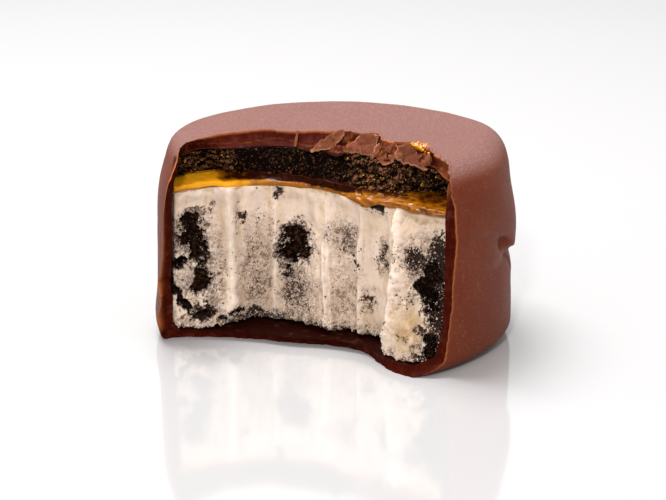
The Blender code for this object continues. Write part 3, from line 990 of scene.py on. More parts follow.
class Layer:
    """Steps that the filling's layers share: a bitten front, closed round the back in the coat."""

    form: CakeForm
    back_columns: int = 40
    hub: tuple[float, float] = (-2.0, 15.0)

    def ring(self, front: Array, spare: float) -> Array:
        """Close one row of the front round the back, and keep it inside the coat."""
        limit = self.form.inner_radius(front[:, 2]) - spare
        scale = np.minimum(1.0, limit / np.hypot(front[:, 0], front[:, 1]))[:, None]
        kept = np.concatenate([front[:, :2] * scale, front[:, 2:]], axis=1)
        start = math.atan2(kept[-1, 1], kept[-1, 0])
        end = start + (math.atan2(kept[0, 1], kept[0, 0]) - start) % (2.0 * math.pi)
        angles = np.linspace(start, end, self.back_columns + 2)[1:-1]
        z = np.interp(angles, [start, end], [kept[-1, 2], kept[0, 2]])
        r = self.form.inner_radius(z) - self.form.clearance
        return np.concatenate([kept, np.stack([r * np.cos(angles), r * np.sin(angles), z], axis=1)])

    def cap(self, skin: LoopSkin, ring: Array, first: bool) -> None:
        """Add the loops between an end ring and the pole behind it."""
        pole = np.array([*self.hub, float(np.median(ring[:, 2]))])
        stages = ((1, 0.01), (1, 0.03), (2, 0.07), (2, 0.14), (4, 0.25), (8, 0.45), (8, 0.75))
        for skip, share in reversed(stages) if first else stages:
            skin.add(ring[::skip] + (pole - ring[::skip]) * share)

    def padded(self, values: Array | float) -> Array | float:
        """Extend a row's painted values with zeros round the back, but leave one value for all."""
        return np.concatenate([values, np.zeros(self.back_columns)]) if np.ndim(values) else values

    def wrap(self, name: str, material: Material, rows: list[tuple[Array, dict[str, Array | float]]],
             spare: float = 0.12) -> Piece:
        """Make the layer's object.

        Args:
            name: the object's name.
            material: its first material.
            rows: the bitten front's rows from its foot to its head, each with its painted values; the
                last row has all of them.
            spare: the room that the rows leave inside the coat.

        Returns:
            The object, closed round the back.
        """
        skin = LoopSkin(*rows[-1][1])
        self.cap(skin, self.ring(rows[0][0], spare), first=True)
        for row, paint in rows:
            skin.add(self.ring(row, spare), **{key: self.padded(values) for key, values in paint.items()})
        self.cap(skin, self.ring(rows[-1][0], spare), first=False)
        return skin.make(name, material)


def outward(curve: Array) -> Array:
    """Return the level directions that point out of a bitten front."""
    along = np.gradient(curve, axis=0)
    return unit(np.stack([along[:, 1], -along[:, 0], np.zeros(len(curve))], axis=1))


def raised(curve: Array, z: Array | float) -> Array:
    """Return a flat curve's points at a height."""
    return np.concatenate([curve, np.broadcast_to(z, len(curve))[:, None]], axis=1)


@dataclass(frozen=True)
class Spot:
    """A patch on the bitten face: its middle, half width, half height, strength and tilt."""

    x: float
    z: float
    wide: float
    high: float
    strength: float = 1.0
    tilt: float = 0.0

    def reach(self, x: Array, z: Array) -> Array:
        """Return the distance from the middle, 1 on the patch's outline."""
        turn = math.radians(self.tilt)
        across = (x - self.x) * math.cos(turn) + (z - self.z) * math.sin(turn)
        upwards = (z - self.z) * math.cos(turn) - (x - self.x) * math.sin(turn)
        return np.hypot(across / self.wide, upwards / self.high)

    def on(self, x: Array, z: Array) -> Array:
        """Return the patch's soft strength at points of the face."""
        return self.strength * np.exp(-self.reach(x, z) ** 3)

    def cut(self, x: Array, z: Array) -> Array:
        """Return the patch's strength with a firm outline."""
        return self.strength * (1.0 - ease(0.75, 1.1, self.reach(x, z)))


@dataclass(frozen=True)
class Ridge:
    """An upright crest that the gap between two teeth left, from its head to its foot."""

    head: tuple[float, float]
    foot: tuple[float, float]
    width: float
    proud: float

    def on(self, x: Array, z: Array) -> Array:
        """Return the crest's height at points of the face."""
        (head_x, head_z), (foot_x, foot_z) = self.head, self.foot
        share = (z - foot_z) / (head_z - foot_z)
        middle = foot_x + (head_x - foot_x) * share
        ends = ease(-0.12, 0.06, share) * (1.0 - ease(0.94, 1.12, share))
        return self.proud * bell(x - middle, self.width) * ends


def spots(*rows: tuple[float, ...]) -> tuple[Spot, ...]:
    """Return patches from rows of their numbers."""
    return tuple(Spot(*row) for row in rows)


# Patches on the face of the ice cream, each as x, z, half width, half height, strength and tilt
FROSTY = spots(
    (-22.4, 12.0, 2.2, 8.5), (-14.4, 12.5, 3.4, 9.5), (-7.0, 8.0, 4.0, 6.5, 0.9),
    (1.8, 8.5, 3.0, 7.5, 0.7), (1.8, 20.0, 3.2, 3.8, 0.8), (17.0, 18.5, 4.2, 5.6), (18.2, 5.0, 3.0, 5.0),
    (9.4, 18.0, 1.4, 4.5, 0.7), (-28.6, 11.0, 2.2, 3.0, 0.6), (-16.5, 21.5, 2.4, 2.2, 0.6),
    (19.0, 13.0, 2.5, 6.0, 0.9),
)
SPECKLED = spots(
    (10.4, 9.5, 0.7, 4.6, 1.5), (-1.0, 20.0, 1.0, 1.4, 1.1), (-18.3, 22.4, 0.9, 2.6, 1.2),
    (-10.8, 27.0, 1.6, 1.5, 1.6), (-7.8, 8.5, 2.8, 4.6, 1.2), (-7.6, 20.6, 2.4, 1.6, 1.6),
    (2.3, 19.8, 2.4, 3.4, 1.4), (8.8, 18.2, 0.9, 3.6, 1.5), (6.5, 9.0, 0.9, 2.8, 1.5),
    (11.3, 18.4, 0.6, 2.8, 1.4), (14.9, 19.6, 2.8, 3.2, 1.9), (18.2, 17.0, 2.4, 6.0, 1.9),
    (13.6, 13.0, 2.0, 1.8, 1.1), (16.0, 7.4, 1.3, 1.0, 1.6), (18.2, 4.6, 2.4, 3.4, 2.0),
    (-25.4, 4.7, 2.4, 2.0, 1.8), (-13.6, 3.2, 6.5, 1.5, 1.7), (-23.2, 24.0, 0.8, 2.0, 0.9),
    (-14.5, 12.0, 3.6, 10.0, 0.75), (-22.6, 11.0, 2.4, 8.0, 0.8), (1.0, 9.0, 3.8, 7.5, 0.45),
    (-26.0, 23.4, 3.0, 1.0, 1.3), (-12.0, 20.0, 1.2, 6.0, 0.8), (-4.5, 17.0, 2.0, 6.0, 0.7),
    (4.6, 13.4, 1.0, 4.6, 0.9), (-28.0, 10.6, 1.4, 1.2, 0.9), (12.8, 6.0, 0.9, 1.2, 1.1),
    (-20.0, 15.0, 0.8, 8.0, 0.5), (8.6, 27.6, 1.8, 1.6, 1.5),
)
STAINED = spots(
    (-7.8, 8.6, 2.4, 4.0, 0.8), (-7.6, 20.2, 2.2, 1.2, 1.1), (-17.5, 22.5, 0.9, 1.1, 1.5),
    (-10.8, 26.8, 1.3, 1.2, 0.9), (-25.0, 12.6, 1.2, 1.6, 1.3), (-24.6, 5.2, 2.6, 1.7, 1.5),
    (-15.0, 3.6, 6.0, 0.9, 1.3), (19.5, 15.5, 2.1, 9.0, 2.3), (15.2, 19.9, 2.1, 2.4, 1.4),
    (19.0, 4.0, 2.6, 3.0, 2.0), (16.0, 7.4, 1.1, 0.8, 1.3), (11.4, 18.2, 0.45, 2.4, 1.5),
    (8.8, 18.6, 0.6, 3.0, 1.0), (11.2, 12.0, 0.3, 1.2, 1.3), (4.3, 15.8, 0.7, 0.8, 1.4),
    (2.2, 19.0, 1.6, 2.2, 0.7), (6.5, 9.6, 0.45, 1.8, 1.1), (8.6, 27.9, 1.5, 1.1, 2.2),
    (-18.6, 5.0, 1.3, 0.7, 1.8), (3.6, 17.4, 0.5, 0.5, 1.4),
)
HOLES = spots(
    (-29.4, 14.2, 1.3, 1.2, 3.0), (-31.2, 10.0, 1.3, 2.2, 3.0), (-29.0, 7.4, 0.9, 3.2, 2.4, 35.0),
    (-18.2, 4.9, 1.5, 0.55, 1.6), (-20.8, 3.6, 1.2, 0.6, 1.2), (11.4, 18.4, 0.45, 2.5, 0.9),
    (8.9, 18.6, 0.5, 2.8, 0.35), (-23.5, 23.4, 0.25, 0.6, 0.6), (-23.1, 25.4, 0.2, 0.5, 0.5),
    (-26.6, 24.2, 2.4, 0.28, 0.45, 10.0), (-25.2, 4.4, 1.9, 1.3, 1.3), (8.7, 28.3, 1.4, 1.2, 0.8),
)
LUMPS = spots(
    (-28.0, 11.4, 1.5, 1.9, 0.9), (-30.4, 4.6, 1.5, 2.6, 1.0), (-20.6, 6.6, 2.0, 1.8, 0.7),
    (-25.6, 7.4, 2.6, 1.0, 0.5), (-27.4, 25.8, 3.0, 2.0, 0.5), (14.5, 25.0, 2.4, 2.6, 0.6),
    (12.6, 6.0, 2.4, 5.0, 0.7),
)
# Patches painted darker and yellower: partly a warmer tint, partly painted shade
WARM_TINT_AND_SHADE = spots(
    (14.0, 7.0, 2.6, 5.6, 1.15), (6.4, 24.0, 1.3, 4.6, 0.35), (14.4, 25.0, 1.6, 3.0, 0.35),
    (-12.0, 13.0, 3.0, 9.0, 0.25), (-20.0, 20.0, 1.2, 6.0, 0.25), (8.0, 5.0, 4.0, 3.0, 0.4),
    (16.5, 3.0, 3.0, 3.0, 0.5), (-1.5, 6.0, 3.0, 4.0, 0.3), (-18.0, 28.5, 13.0, 0.5, 0.8),
    (0.0, 28.4, 9.0, 0.6, 0.9), (16.5, 27.2, 5.0, 0.9, 0.9),
)
# The crests between teeth and smaller ones, each as its head, its foot, its width and its height
RIDGES = tuple(Ridge(*row) for row in (
    ((-20.2, 28.6), (-18.8, 5.2), 1.35, 1.15), ((-22.6, 20.0), (-22.0, 6.0), 0.9, 0.25),
    ((-15.6, 28.6), (-17.6, 20.0), 1.6, 0.4), ((-11.0, 24.5), (-11.4, 3.5), 0.8, 0.75),
    ((-2.2, 17.5), (-1.6, 2.2), 0.34, 0.45), ((-1.0, 16.5), (-0.4, 2.2), 0.30, 0.36),
    ((5.0, 20.0), (5.1, 2.2), 0.60, 0.75), ((10.2, 28.0), (10.5, 15.0), 0.50, 0.6),
    ((12.8, 28.2), (10.4, 2.6), 0.6, 1.3), ((7.6, 28.2), (7.9, 12.0), 0.8, 0.4),
    ((-4.4, 28.6), (-3.6, 18.0), 1.0, 0.35), ((-25.6, 28.6), (-24.6, 22.0), 1.0, 0.3),
))
# Where each tooth's hollow ends, as x at the head and at the foot
TOOTH_LINES = ((-31.0, -31.0), (-20.2, -19.5), (-11.0, -11.3), (-1.6, -1.1), (5.0, 5.2), (12.7, 10.4),
               (21.0, 21.0))


def patchwork(patches: tuple[Spot, ...], x: Array, z: Array, firm: bool = False) -> Array:
    """Return the strongest patch at each point."""
    return np.max([patch.cut(x, z) if firm else patch.on(x, z) for patch in patches], axis=0)


@dataclass(frozen=True)
class Chunk:
    """One cookie piece in the bitten face, as round lobes about the middle of its CAD node."""

    node: str
    lobes: tuple[tuple[float, float, float, float], ...]  # x, z, half width and half height
    sunk: float = 0.35
    crumbly: float = 0.0

    def lobe_spots(self) -> tuple[Spot, ...]:
        """Return the lobes as patches of the face."""
        x, _, z = sum(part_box(self.node), Vector()) / (2.0 * MM)
        return spots(*((x + dx, z + dz, wide, high) for dx, dz, wide, high in self.lobes))

    def gap(self, x: Array, z: Array) -> Array:
        """Return the rough distance in millimetres outside the lobes' joint outline."""
        found = [(spot.reach(x, z) - 1.0) * min(spot.wide, spot.high) for spot in self.lobe_spots()]
        return np.min(found, axis=0)


CHUNKS = (
    Chunk("cookie_piece_left", ((-1.1, 4.0, 2.0, 1.5), (-1.0, 0.9, 2.3, 2.1), (0.5, -2.6, 1.6, 2.0),
                                (0.3, -0.6, 1.5, 2.2), (0.9, -4.6, 0.7, 1.0)), 1.55, 0.4),
    Chunk("cookie_piece_left_low", ((0.0, 0.4, 1.9, 1.9), (-1.0, -0.3, 1.2, 1.1)), 1.1, 0.3),
    Chunk("cookie_piece_middle", ((-0.9, -0.8, 1.9, 2.6), (-0.2, 2.4, 2.2, 1.6), (1.0, 0.2, 1.6, 2.4),
                                  (-1.0, -3.6, 0.9, 1.2)), 1.6, 0.55),
    Chunk("cookie_piece_right", ((1.2, -0.6, 1.5, 3.8), (-0.5, 1.4, 1.3, 1.0), (0.8, 4.4, 1.1, 1.0),
                                 (1.1, -3.6, 1.1, 1.4)), 1.3, 1.4),
    Chunk("cookie_piece_right_low", ((1.9, -1.2, 1.5, 1.6), (0.6, -2.6, 1.1, 0.7), (2.1, 1.0, 0.8, 0.8)),
          1.3, 1.4),
)


@dataclass
class IceCream(Layer):
    """The ice cream: a bitten front full of tooth marks, frost and pockets, and plain hidden sides."""

    form: CakeForm
    finish: IceCreamFinish = IceCreamFinish()
    columns: int = 496
    rows: int = 172
    edge_height: float = 0.9
    tooth_hollow: float = 1.15
    pocket: float = 1.8
    recess: float = 2.4
    noise: Noise = field(default_factory=lambda: Noise(5))

    def __post_init__(self) -> None:
        """Work out the face and its relief."""
        self.levels = (self.form.plate, 13.0, self.form.ice_top)
        curves = [np.array(curve, float) for curve in (ICE_FOOT, ICE_MIDDLE, ICE_HEAD)]
        places = even_places(curves[1], self.columns)
        self.curves = [spline(curve, places) for curve in curves]
        self.out = outward(self.curves[1])
        foot = self._foot_heights()
        heights = foot + (self.form.ice_top - 0.1 - foot) * np.linspace(0.0, 1.0, self.rows)[:, None]
        self.plain = self._plain_face(heights)
        self._paint_face(self.plain[..., 2] - foot)

    def _foot_heights(self) -> Array:
        """Return the ragged height of the face's lower edge, which hangs clear of the plate."""
        probe = raised(self.curves[0], 0.0)
        x = probe[:, 0]
        clear = self.edge_height * ease(-25.0, -20.0, x) * (1.0 - ease(7.5, 10.5, x))
        ragged = 0.5 * self.noise.smooth(probe, 2.6) + 0.9 * self.noise.rough(probe, 1.2, 5, 0.7)
        return self.form.plate + 0.35 + clear + ragged * (0.25 + 0.75 * clear)

    def _plain_face(self, heights: Array) -> Array:
        """Return the face's points, rows of columns, before its relief."""
        low, middle, high = self.levels
        foot, waist, head = self.curves
        z = heights[..., None]
        plan = (foot * (z - middle) * (z - high) / ((low - middle) * (low - high))
                + waist * (z - low) * (z - high) / ((middle - low) * (middle - high))
                + head * (z - low) * (z - middle) / ((high - low) * (high - middle)))
        return np.concatenate([plan, z], axis=2)

    def _tooth_hollows(self, x: Array, z: Array) -> Array:
        """Return the shallow hollow that each tooth left between two crests."""
        share = (z - self.levels[0]) / (self.levels[2] - self.levels[0])
        hollow = np.zeros(len(x))
        for (left_head, left_foot), (right_head, right_foot) in zip(TOOTH_LINES, TOOTH_LINES[1:]):
            left = left_foot + (left_head - left_foot) * share
            right = right_foot + (right_head - right_foot) * share
            across = np.clip((x - left) / (right - left), 0.0, 1.0)
            hollow -= self.tooth_hollow * 4.0 * across * (1.0 - across)
        return hollow * (1.0 - 0.9 * ease(self.levels[2] - 3.0, self.levels[2] - 0.3, z))

    def _paint_face(self, above_foot: Array) -> None:
        """Work out the face's relief and the values painted on it."""
        noise, points = self.noise, self.plain.reshape(-1, 3)
        x, _, z = points.T
        warp = noise.rough(points, 2.2, 5, 0.65)
        wx, wz = x + 0.8 * warp, z + 0.8 * noise.rough(points + 60.0, 2.2, 5, 0.65)
        # What the teeth smoothed, and where frost, crumbs and stains lie
        ridges = np.sum([ridge.on(x + 0.2 * warp, z) for ridge in RIDGES], axis=0)
        frost = np.clip(patchwork(FROSTY, wx, wz) * 1.4 - 0.15, 0.0, 1.0)
        frost = frost * (1.0 - np.clip(1.4 * ridges, 0.0, 1.0))
        frost = np.maximum(frost, 1.0 - ease(0.3, 2.4, above_foot.ravel()))
        crumbs, stain = patchwork(SPECKLED, wx, wz), patchwork(STAINED, wx, wz)
        # The relief: streaks where it is smooth, grains and clumps where it is frosty
        streaks = noise.rough(points * np.array([1.0, 1.0, 0.10]), 0.9, 3)
        near = noise.nearest(points, 0.62)
        finer = noise.nearest(points + 9.0, 0.36)
        clumps = noise.nearest(points + 21.0, 1.3)
        grain = 0.30 * (0.6 - near) + 0.16 * (0.6 - finer) + 0.22 * (0.6 - clumps)
        relief = self._tooth_hollows(x, z) + ridges + 0.42 * noise.rough(points, 5.0, 4)
        relief += (1.0 - frost) * (0.09 * streaks + 0.02 * (0.6 - finer)) + frost * grain
        relief += 0.10 * noise.rough(points, 1.0, 3) * np.minimum(crumbs, 1.0)
        relief += (0.45 * (0.5 - clumps) + 0.35 * (0.5 - near)) * ease(0.7, 1.5, stain)
        relief += patchwork(LUMPS, wx, wz)
        relief += (1.0 - ease(-24.4, -22.6, x)) * (1.0 - ease(21.0, 24.0, z)) * (
            1.1 * noise.rough(points, 2.4, 5, 0.62) + 0.5 * (0.5 - clumps))
        paint = {"frost": frost, "crumbs": crumbs, "stain": stain}
        relief -= self._sink_holes(points, (wx, wz), near, paint)
        # Darker, yellower patches: partly a warmer tint, partly painted shade
        paint["butter"] = patchwork(WARM_TINT_AND_SHADE, wx, wz) * (1.0 - 0.6 * paint["frost"])
        grid = (self.rows, self.columns)
        self.paint = {name: values.reshape(grid) for name, values in paint.items()}
        self._raise_face(relief.reshape(grid))

    def _sink_holes(self, points: Array, warped: tuple[Array, Array], near: Array,
                    paint: dict[str, Array]) -> Array:
        """Sink the holes and the cookie pieces' pockets, darken their insides, with crumbs and frost round
        them.

        Args:
            points: the plain face's points.
            warped: their x and z, shifted so that outlines come out ragged.
            near: their distance to the nearest grain.
            paint: the painted values, which are brought up to date.

        Returns:
            How deep the face is sunk at each point.
        """
        x, _, z = points.T
        holes = patchwork(HOLES, *warped, firm=True)
        fine_x = x + 0.9 * self.noise.rough(points, 1.7, 5, 0.74)
        fine_z = z + 0.9 * self.noise.rough(points + 30.0, 1.7, 5, 0.74)
        for chunk in CHUNKS:
            gap = chunk.gap(fine_x, fine_z)
            gap += chunk.crumbly * (0.9 * self.noise.rough(points, 1.1, 4, 0.7) + 0.35 * (near - 0.3))
            gap += 0.75 * (near - 0.5) + 0.35 * (self.noise.nearest(points, 1.3) - 0.5)
            crumbly = (1.0 + chunk.crumbly) * (1.0 - ease(0.1, 1.6, gap))
            holes = np.maximum(holes, self.pocket * (1.0 - ease(-0.3, 0.1, gap)))
            paint["crumbs"] = np.maximum(paint["crumbs"], crumbly)
            paint["frost"] = np.maximum(paint["frost"], bell(gap - 0.40, 0.35))
        # Paint the insides of the holes and pockets dark
        paint["stain"] = np.maximum(paint["stain"], 1.7 * ease(0.35, 1.1, holes))
        paint["frost"] = paint["frost"] * (1.0 - 0.75 * ease(0.6, 1.6, paint["stain"]))
        return holes

    def _raise_face(self, relief: Array) -> None:
        """Move the face out by its relief and paint shade in its hollows and highlights on its crests."""
        sides = np.minimum(np.arange(self.columns), np.arange(self.columns)[::-1]) * 0.15
        relief = np.where(relief > 0, relief * ease(0.0, 1.2, sides), relief)
        pit = np.clip((blurred(relief, 4) - relief) / 0.30 - 0.10, 0.0, 1.0)
        wide = blurred(relief, 14) - relief
        self.paint["pit"] = np.maximum(pit, np.clip(wide / 0.6, 0.0, 1.0) * 0.22)
        self.paint["crest"] = np.clip(-wide / 0.45 - 0.10, 0.0, 1.0)
        self.face = self.plain + self.out * relief[..., None]

    def make(self) -> Piece:
        """Make the ice cream."""
        # The recess under the lower edge, painted with shade
        recess = self.face[0] - self.out * self.recess
        recess[:, 2] = self.form.plate + 0.12
        rows = [(recess, {"frost": 1.0, "pit": 1.0})]
        for share, depth in ((0.3, 1.7), (0.55, 1.1), (0.8, 0.55), (0.93, 0.2)):
            row = self.face[0] - self.out * depth
            row[:, 2] = recess[:, 2] + (self.face[0, :, 2] - recess[:, 2]) * share
            rows.append((row, {"frost": 1.0, "pit": 1.0 - share}))
        for k, row in enumerate(self.face):
            rows.append((row, {name: grid[k] for name, grid in self.paint.items()}))
        piece = self.wrap("ice_cream_body", self.finish.material(), rows)
        return finish_piece(piece, Slot.ICE_CREAM, "ice_cream")

    def nearest(self, x: float, z: float) -> tuple[Array, Array]:
        """Return the face's point nearest to an x and z, and the way out of the face there."""
        away = np.hypot(self.plain[..., 0] - x, self.plain[..., 2] - z)
        row, column = np.unravel_index(np.argmin(away), away.shape)
        return self.plain[row, column], self.out[column]


@dataclass
class CookiePieces:
    """The five large cookie pieces, rough and dark, cut off level with the bitten face."""

    ice: IceCream
    finish: CrumbFinish = CrumbFinish("cookie", (0.0028, 0.0012, 0.0008), (0.046, 0.017, 0.008), 0.28)
    detail: int = 6
    reach: float = 14.0
    proud: float = 1.0
    spread: float = 0.35
    back_round: float = 1.2
    back_depth: float = 1.2
    noise: Noise = field(default_factory=lambda: Noise(41))

    def _piece(self, chunk: Chunk, material: Material) -> Piece:
        """Make one cookie piece."""
        middle = chunk.lobe_spots()[0]
        face, out = self.ice.nearest(middle.x, middle.z)
        centre = face - out * (chunk.sunk + self.proud)
        side = np.array([-out[1], out[0], 0.0]) * -np.sign(out[1])

        def gap(points: Array) -> Array:
            """Return how far points are outside the plain piece."""
            offset = points - centre
            ahead = offset @ out
            flat = chunk.gap(middle.x + offset @ side * side[0], points[:, 2]) - self.spread
            behind = np.hypot(np.maximum(flat + self.back_round, 0.0),
                              np.maximum(-ahead, 0.0) * self.back_depth) - self.back_round
            return np.maximum(np.where(ahead > 0, flat, behind), ahead - self.proud)

        bm = bmesh.new()
        bmesh.ops.create_icosphere(bm, subdivisions=self.detail, radius=1.0)
        ways = unit(np.array([vert.co for vert in bm.verts]))
        triangles = np.array([[vert.index for vert in triangle.verts] for triangle in bm.faces])
        bm.free()
        points = settle(ways, centre, gap, self.reach)
        coarse, _, _, number = self.noise.cells(points, 0.95)
        fine = self.noise.nearest(points + 5.0, 0.42)
        lumps = 0.42 * (0.55 - coarse) + 0.36 * (0.55 - fine)
        rough = lumps + 0.55 * self.noise.rough(points, 1.6, 5, 0.68)
        points = points + ways * rough[:, None]
        # Browner on the lumps and darker between them as painted light, plus random browns, darker for the
        # crumblier pieces
        shade = 0.24 + 2.0 * lumps + 0.35 * self.noise.spots[number, 0] - 0.25 * chunk.crumbly
        piece = make_mesh(chunk.node.replace("piece", "chunk"), points, np.zeros((0, 4), int), triangles,
                          {"shade": np.clip(shade, 0.0, 1.0)}, material)
        return finish_piece(piece, Slot.COOKIE, chunk.node)

    def make(self) -> list[Piece]:
        """Make all five."""
        material = self.finish.material()
        return [self._piece(chunk, material) for chunk in CHUNKS]


@dataclass
class Biscuit(Layer):
    """The dark cocoa biscuit under the top coat, with a coarse bitten front."""

    form: CakeForm
    finish: CrumbFinish = CrumbFinish("cocoa_biscuit", (0.0040, 0.0015, 0.0008), (0.170, 0.070, 0.030),
                                      0.26)
    columns: int = 640
    rows: int = 56
    dent: Spot = Spot(-25.6, 31.6, 1.0, 0.6, 2.4)
    split: Spot = Spot(-18.3, 32.0, 0.3, 3.0, 0.5)
    noise: Noise = field(default_factory=lambda: Noise(61))

    def _front(self) -> tuple[Array, Array]:
        """Return the bitten front's points and their shade, rows of columns."""
        foot, head = np.array(BISCUIT_FOOT, float), np.array(BISCUIT_HEAD, float)
        places = even_places(foot, self.columns)
        foot, head = spline(foot, places), spline(head, places)
        low, high = self.form.caramel_top - 1.0, self.form.biscuit_top - 0.1
        shares = np.linspace(0.0, 1.0, self.rows)
        plain = np.stack([raised(foot + (head - foot) * k, low + (high - low) * k) for k in shares])
        points = plain.reshape(-1, 3)
        x, _, z = points.T
        even = ease(-19.5, -18.0, x) * (1.0 - ease(1.0, 5.0, x))
        coarse = self.noise.nearest(points + 0.4 * self.noise.rough(points, 1.0, 2)[:, None], 1.3)
        near = self.noise.nearest(points + 3.0, 0.64)
        fine = self.noise.nearest(points + 7.0, 0.34)
        grains = 1.5 * (0.5 - coarse) + 0.60 * (0.5 - near) + 0.30 * (0.5 - fine)
        # The relief, calmer in the even middle, with a dent and a split at the left
        depth = 0.9 * self.noise.rough(points, 2.6, 5, 0.62) * (1.0 - 0.5 * even)
        depth += grains * (1.0 - 0.5 * even) + 0.4 * np.sin(np.pi * (z - low) / (high - low))
        depth -= self.dent.cut(x, z) + self.split.on(x, z)
        grid = depth.reshape(self.rows, self.columns)
        # The shade paint: browner on crests and darker in pits as painted light and shade, plus random
        # browns, darker in the even middle
        crest = (grid - blurred(grid, 3)).ravel() / 0.28
        brown = 0.36 - 0.80 * even - 0.10 * ease(1.0, 5.0, x)
        brown += 0.8 * self.noise.rough(points, 1.9, 3)
        shade = np.clip(0.8 * crest * (1.0 - 0.4 * even) + brown, 0.0, 1.0).reshape(grid.shape)
        return plain + outward(0.5 * (foot + head)) * grid[..., None], shade

    def make(self) -> Piece:
        """Make the biscuit."""
        front, shade = self._front()
        rows = [(row, {"shade": values}) for row, values in zip(front, shade)]
        return finish_piece(self.wrap("biscuit_disc", self.finish.material(), rows), Slot.BISCUIT, "biscuit")


@dataclass
class Caramel(Layer):
    """The caramel: it lies on the ice cream's ledge, hangs over its edge and wets the biscuit."""

    form: CakeForm
    finish: CaramelFinish = CaramelFinish()
    film_finish: CaramelFinish = CaramelFinish("caramel_film", 0.05)
    columns: int = 560
    noise: Noise = field(default_factory=lambda: Noise(77))

    def _rows(self) -> list[tuple[Array, Array]]:
        """Return the front's rows from underneath to the biscuit, and how deep their colour is."""
        head, foot = np.array(ICE_HEAD, float), np.array(BISCUIT_FOOT, float)
        places = even_places(head, self.columns)
        front, back = spline(head, places), spline(foot, places)
        out = outward(front)
        x, base = front[:, 0], raised(front, 0.0)
        wave = self.noise.rough(base, 4.0, 4)
        right, left = ease(1.5, 5.5, x), 1.0 - ease(-23.5, -20.5, x)
        thin = bell(x + 1.0, 4.5)
        low = self.form.ice_top - 0.25 - 0.35 * right + 0.35 * left - 0.2 * wave + 0.2 * thin
        low = low + 0.5 * ease(15.0, 18.5, x) + 0.7 * bell(x - 8.8, 1.1) - 0.5 * bell(x - 6.0, 1.0)
        high = self.form.ice_top + 0.75 + 0.35 * left + 0.35 * right - 0.45 * thin + 0.12 * wave
        proud = 0.25 + 0.95 * right - 0.1 * thin + 0.15 * wave
        tone = 0.08 + 0.50 * ease(-23.0, -8.0, x) + 0.10 * ease(10.0, 18.0, x) - 0.12 * left
        # The rounded edge that hangs over the ice cream
        under = base - out * 1.2
        under[:, 2] = self.form.ice_top - 0.3
        rows = [(under, tone)]
        for angle in np.linspace(-0.5 * math.pi, 0.5 * math.pi, 18):
            row = base + out * (proud * math.cos(angle) - 0.25)[:, None]
            row[:, 2] = 0.5 * (low + high) + 0.5 * (high - low) * math.sin(angle)
            rows.append((row, tone))
        # The ledge back to the biscuit's foot
        ledge, climb = self.form.caramel_top + 0.3, self._climb(x)
        for share in (0.1, 0.2, 0.3, 0.4, 0.5, 0.6, 0.7, 0.8, 0.9, 1.0):
            row = base + (raised(back, 0.0) - base) * share - out * 0.25 * (1.0 - share)
            row = row + out * 0.55 * share ** 3
            row[:, 2] = high + (np.maximum(ledge, high - 0.2) - high) * share
            covered = (1.0 - left) * ease(0.05, 0.35, share) + left * ease(0.75, 1.0, share)
            rows.append((row, tone + 0.75 * covered * (1.0 - 0.75 * right)))
        # The film up the biscuit
        last = rows[-1][0]
        for share in (0.3, 0.6, 0.85, 1.0):
            row = last + outward(back) * 0.15 * math.sin(math.pi * share)
            row[:, 2] = last[:, 2] + climb * share
            rows.append((row, tone + 0.75))
        behind = rows[-1][0] - outward(back) * 1.4
        rows.append((behind, tone + 0.75))
        return [(self._flow(row, out, right), deep) for row, deep in rows]

    def _climb(self, x: Array) -> Array:
        """Return how far the caramel has climbed up the biscuit's front."""
        wetted = ease(-23.5, -20.5, x) * (1.0 - ease(2.0, 4.0, x))
        probe = np.stack([x, np.zeros(len(x)), np.zeros(len(x))], axis=1)
        return 0.05 + (0.22 + 0.5 * self.noise.rough(probe, 2.2, 3)).clip(0.0) * wetted

    def _flow(self, row: Array, out: Array, right: Array) -> Array:
        """Give a row the strands and dimples of caramel that was pulled and folded."""
        strands = 1.0 - 2.4 * np.abs(self.noise.rough(row * np.array([0.30, 0.30, 1.3]), 1.0, 2))
        lift = 0.07 * self.noise.smooth(row, 2.2) + 0.05 * strands + 0.34 * right * strands
        lift = lift + 0.16 * (1.0 - right) * self.noise.rough(row, 1.3, 3)
        return row + out * lift[:, None] + np.array([0.0, 0.0, 0.5]) * lift[:, None]

    def make(self) -> Piece:
        """Make the caramel layer."""
        rows = [(row, {"deep": np.clip(deep, 0.0, 1.2)}) for row, deep in self._rows()]
        piece = self.wrap("caramel_layer", self.finish.material(), rows, 0.05)
        dress_by_paint(piece, "deep", self.film_finish.material())
        return finish_piece(piece, Slot.CARAMEL, "caramel")


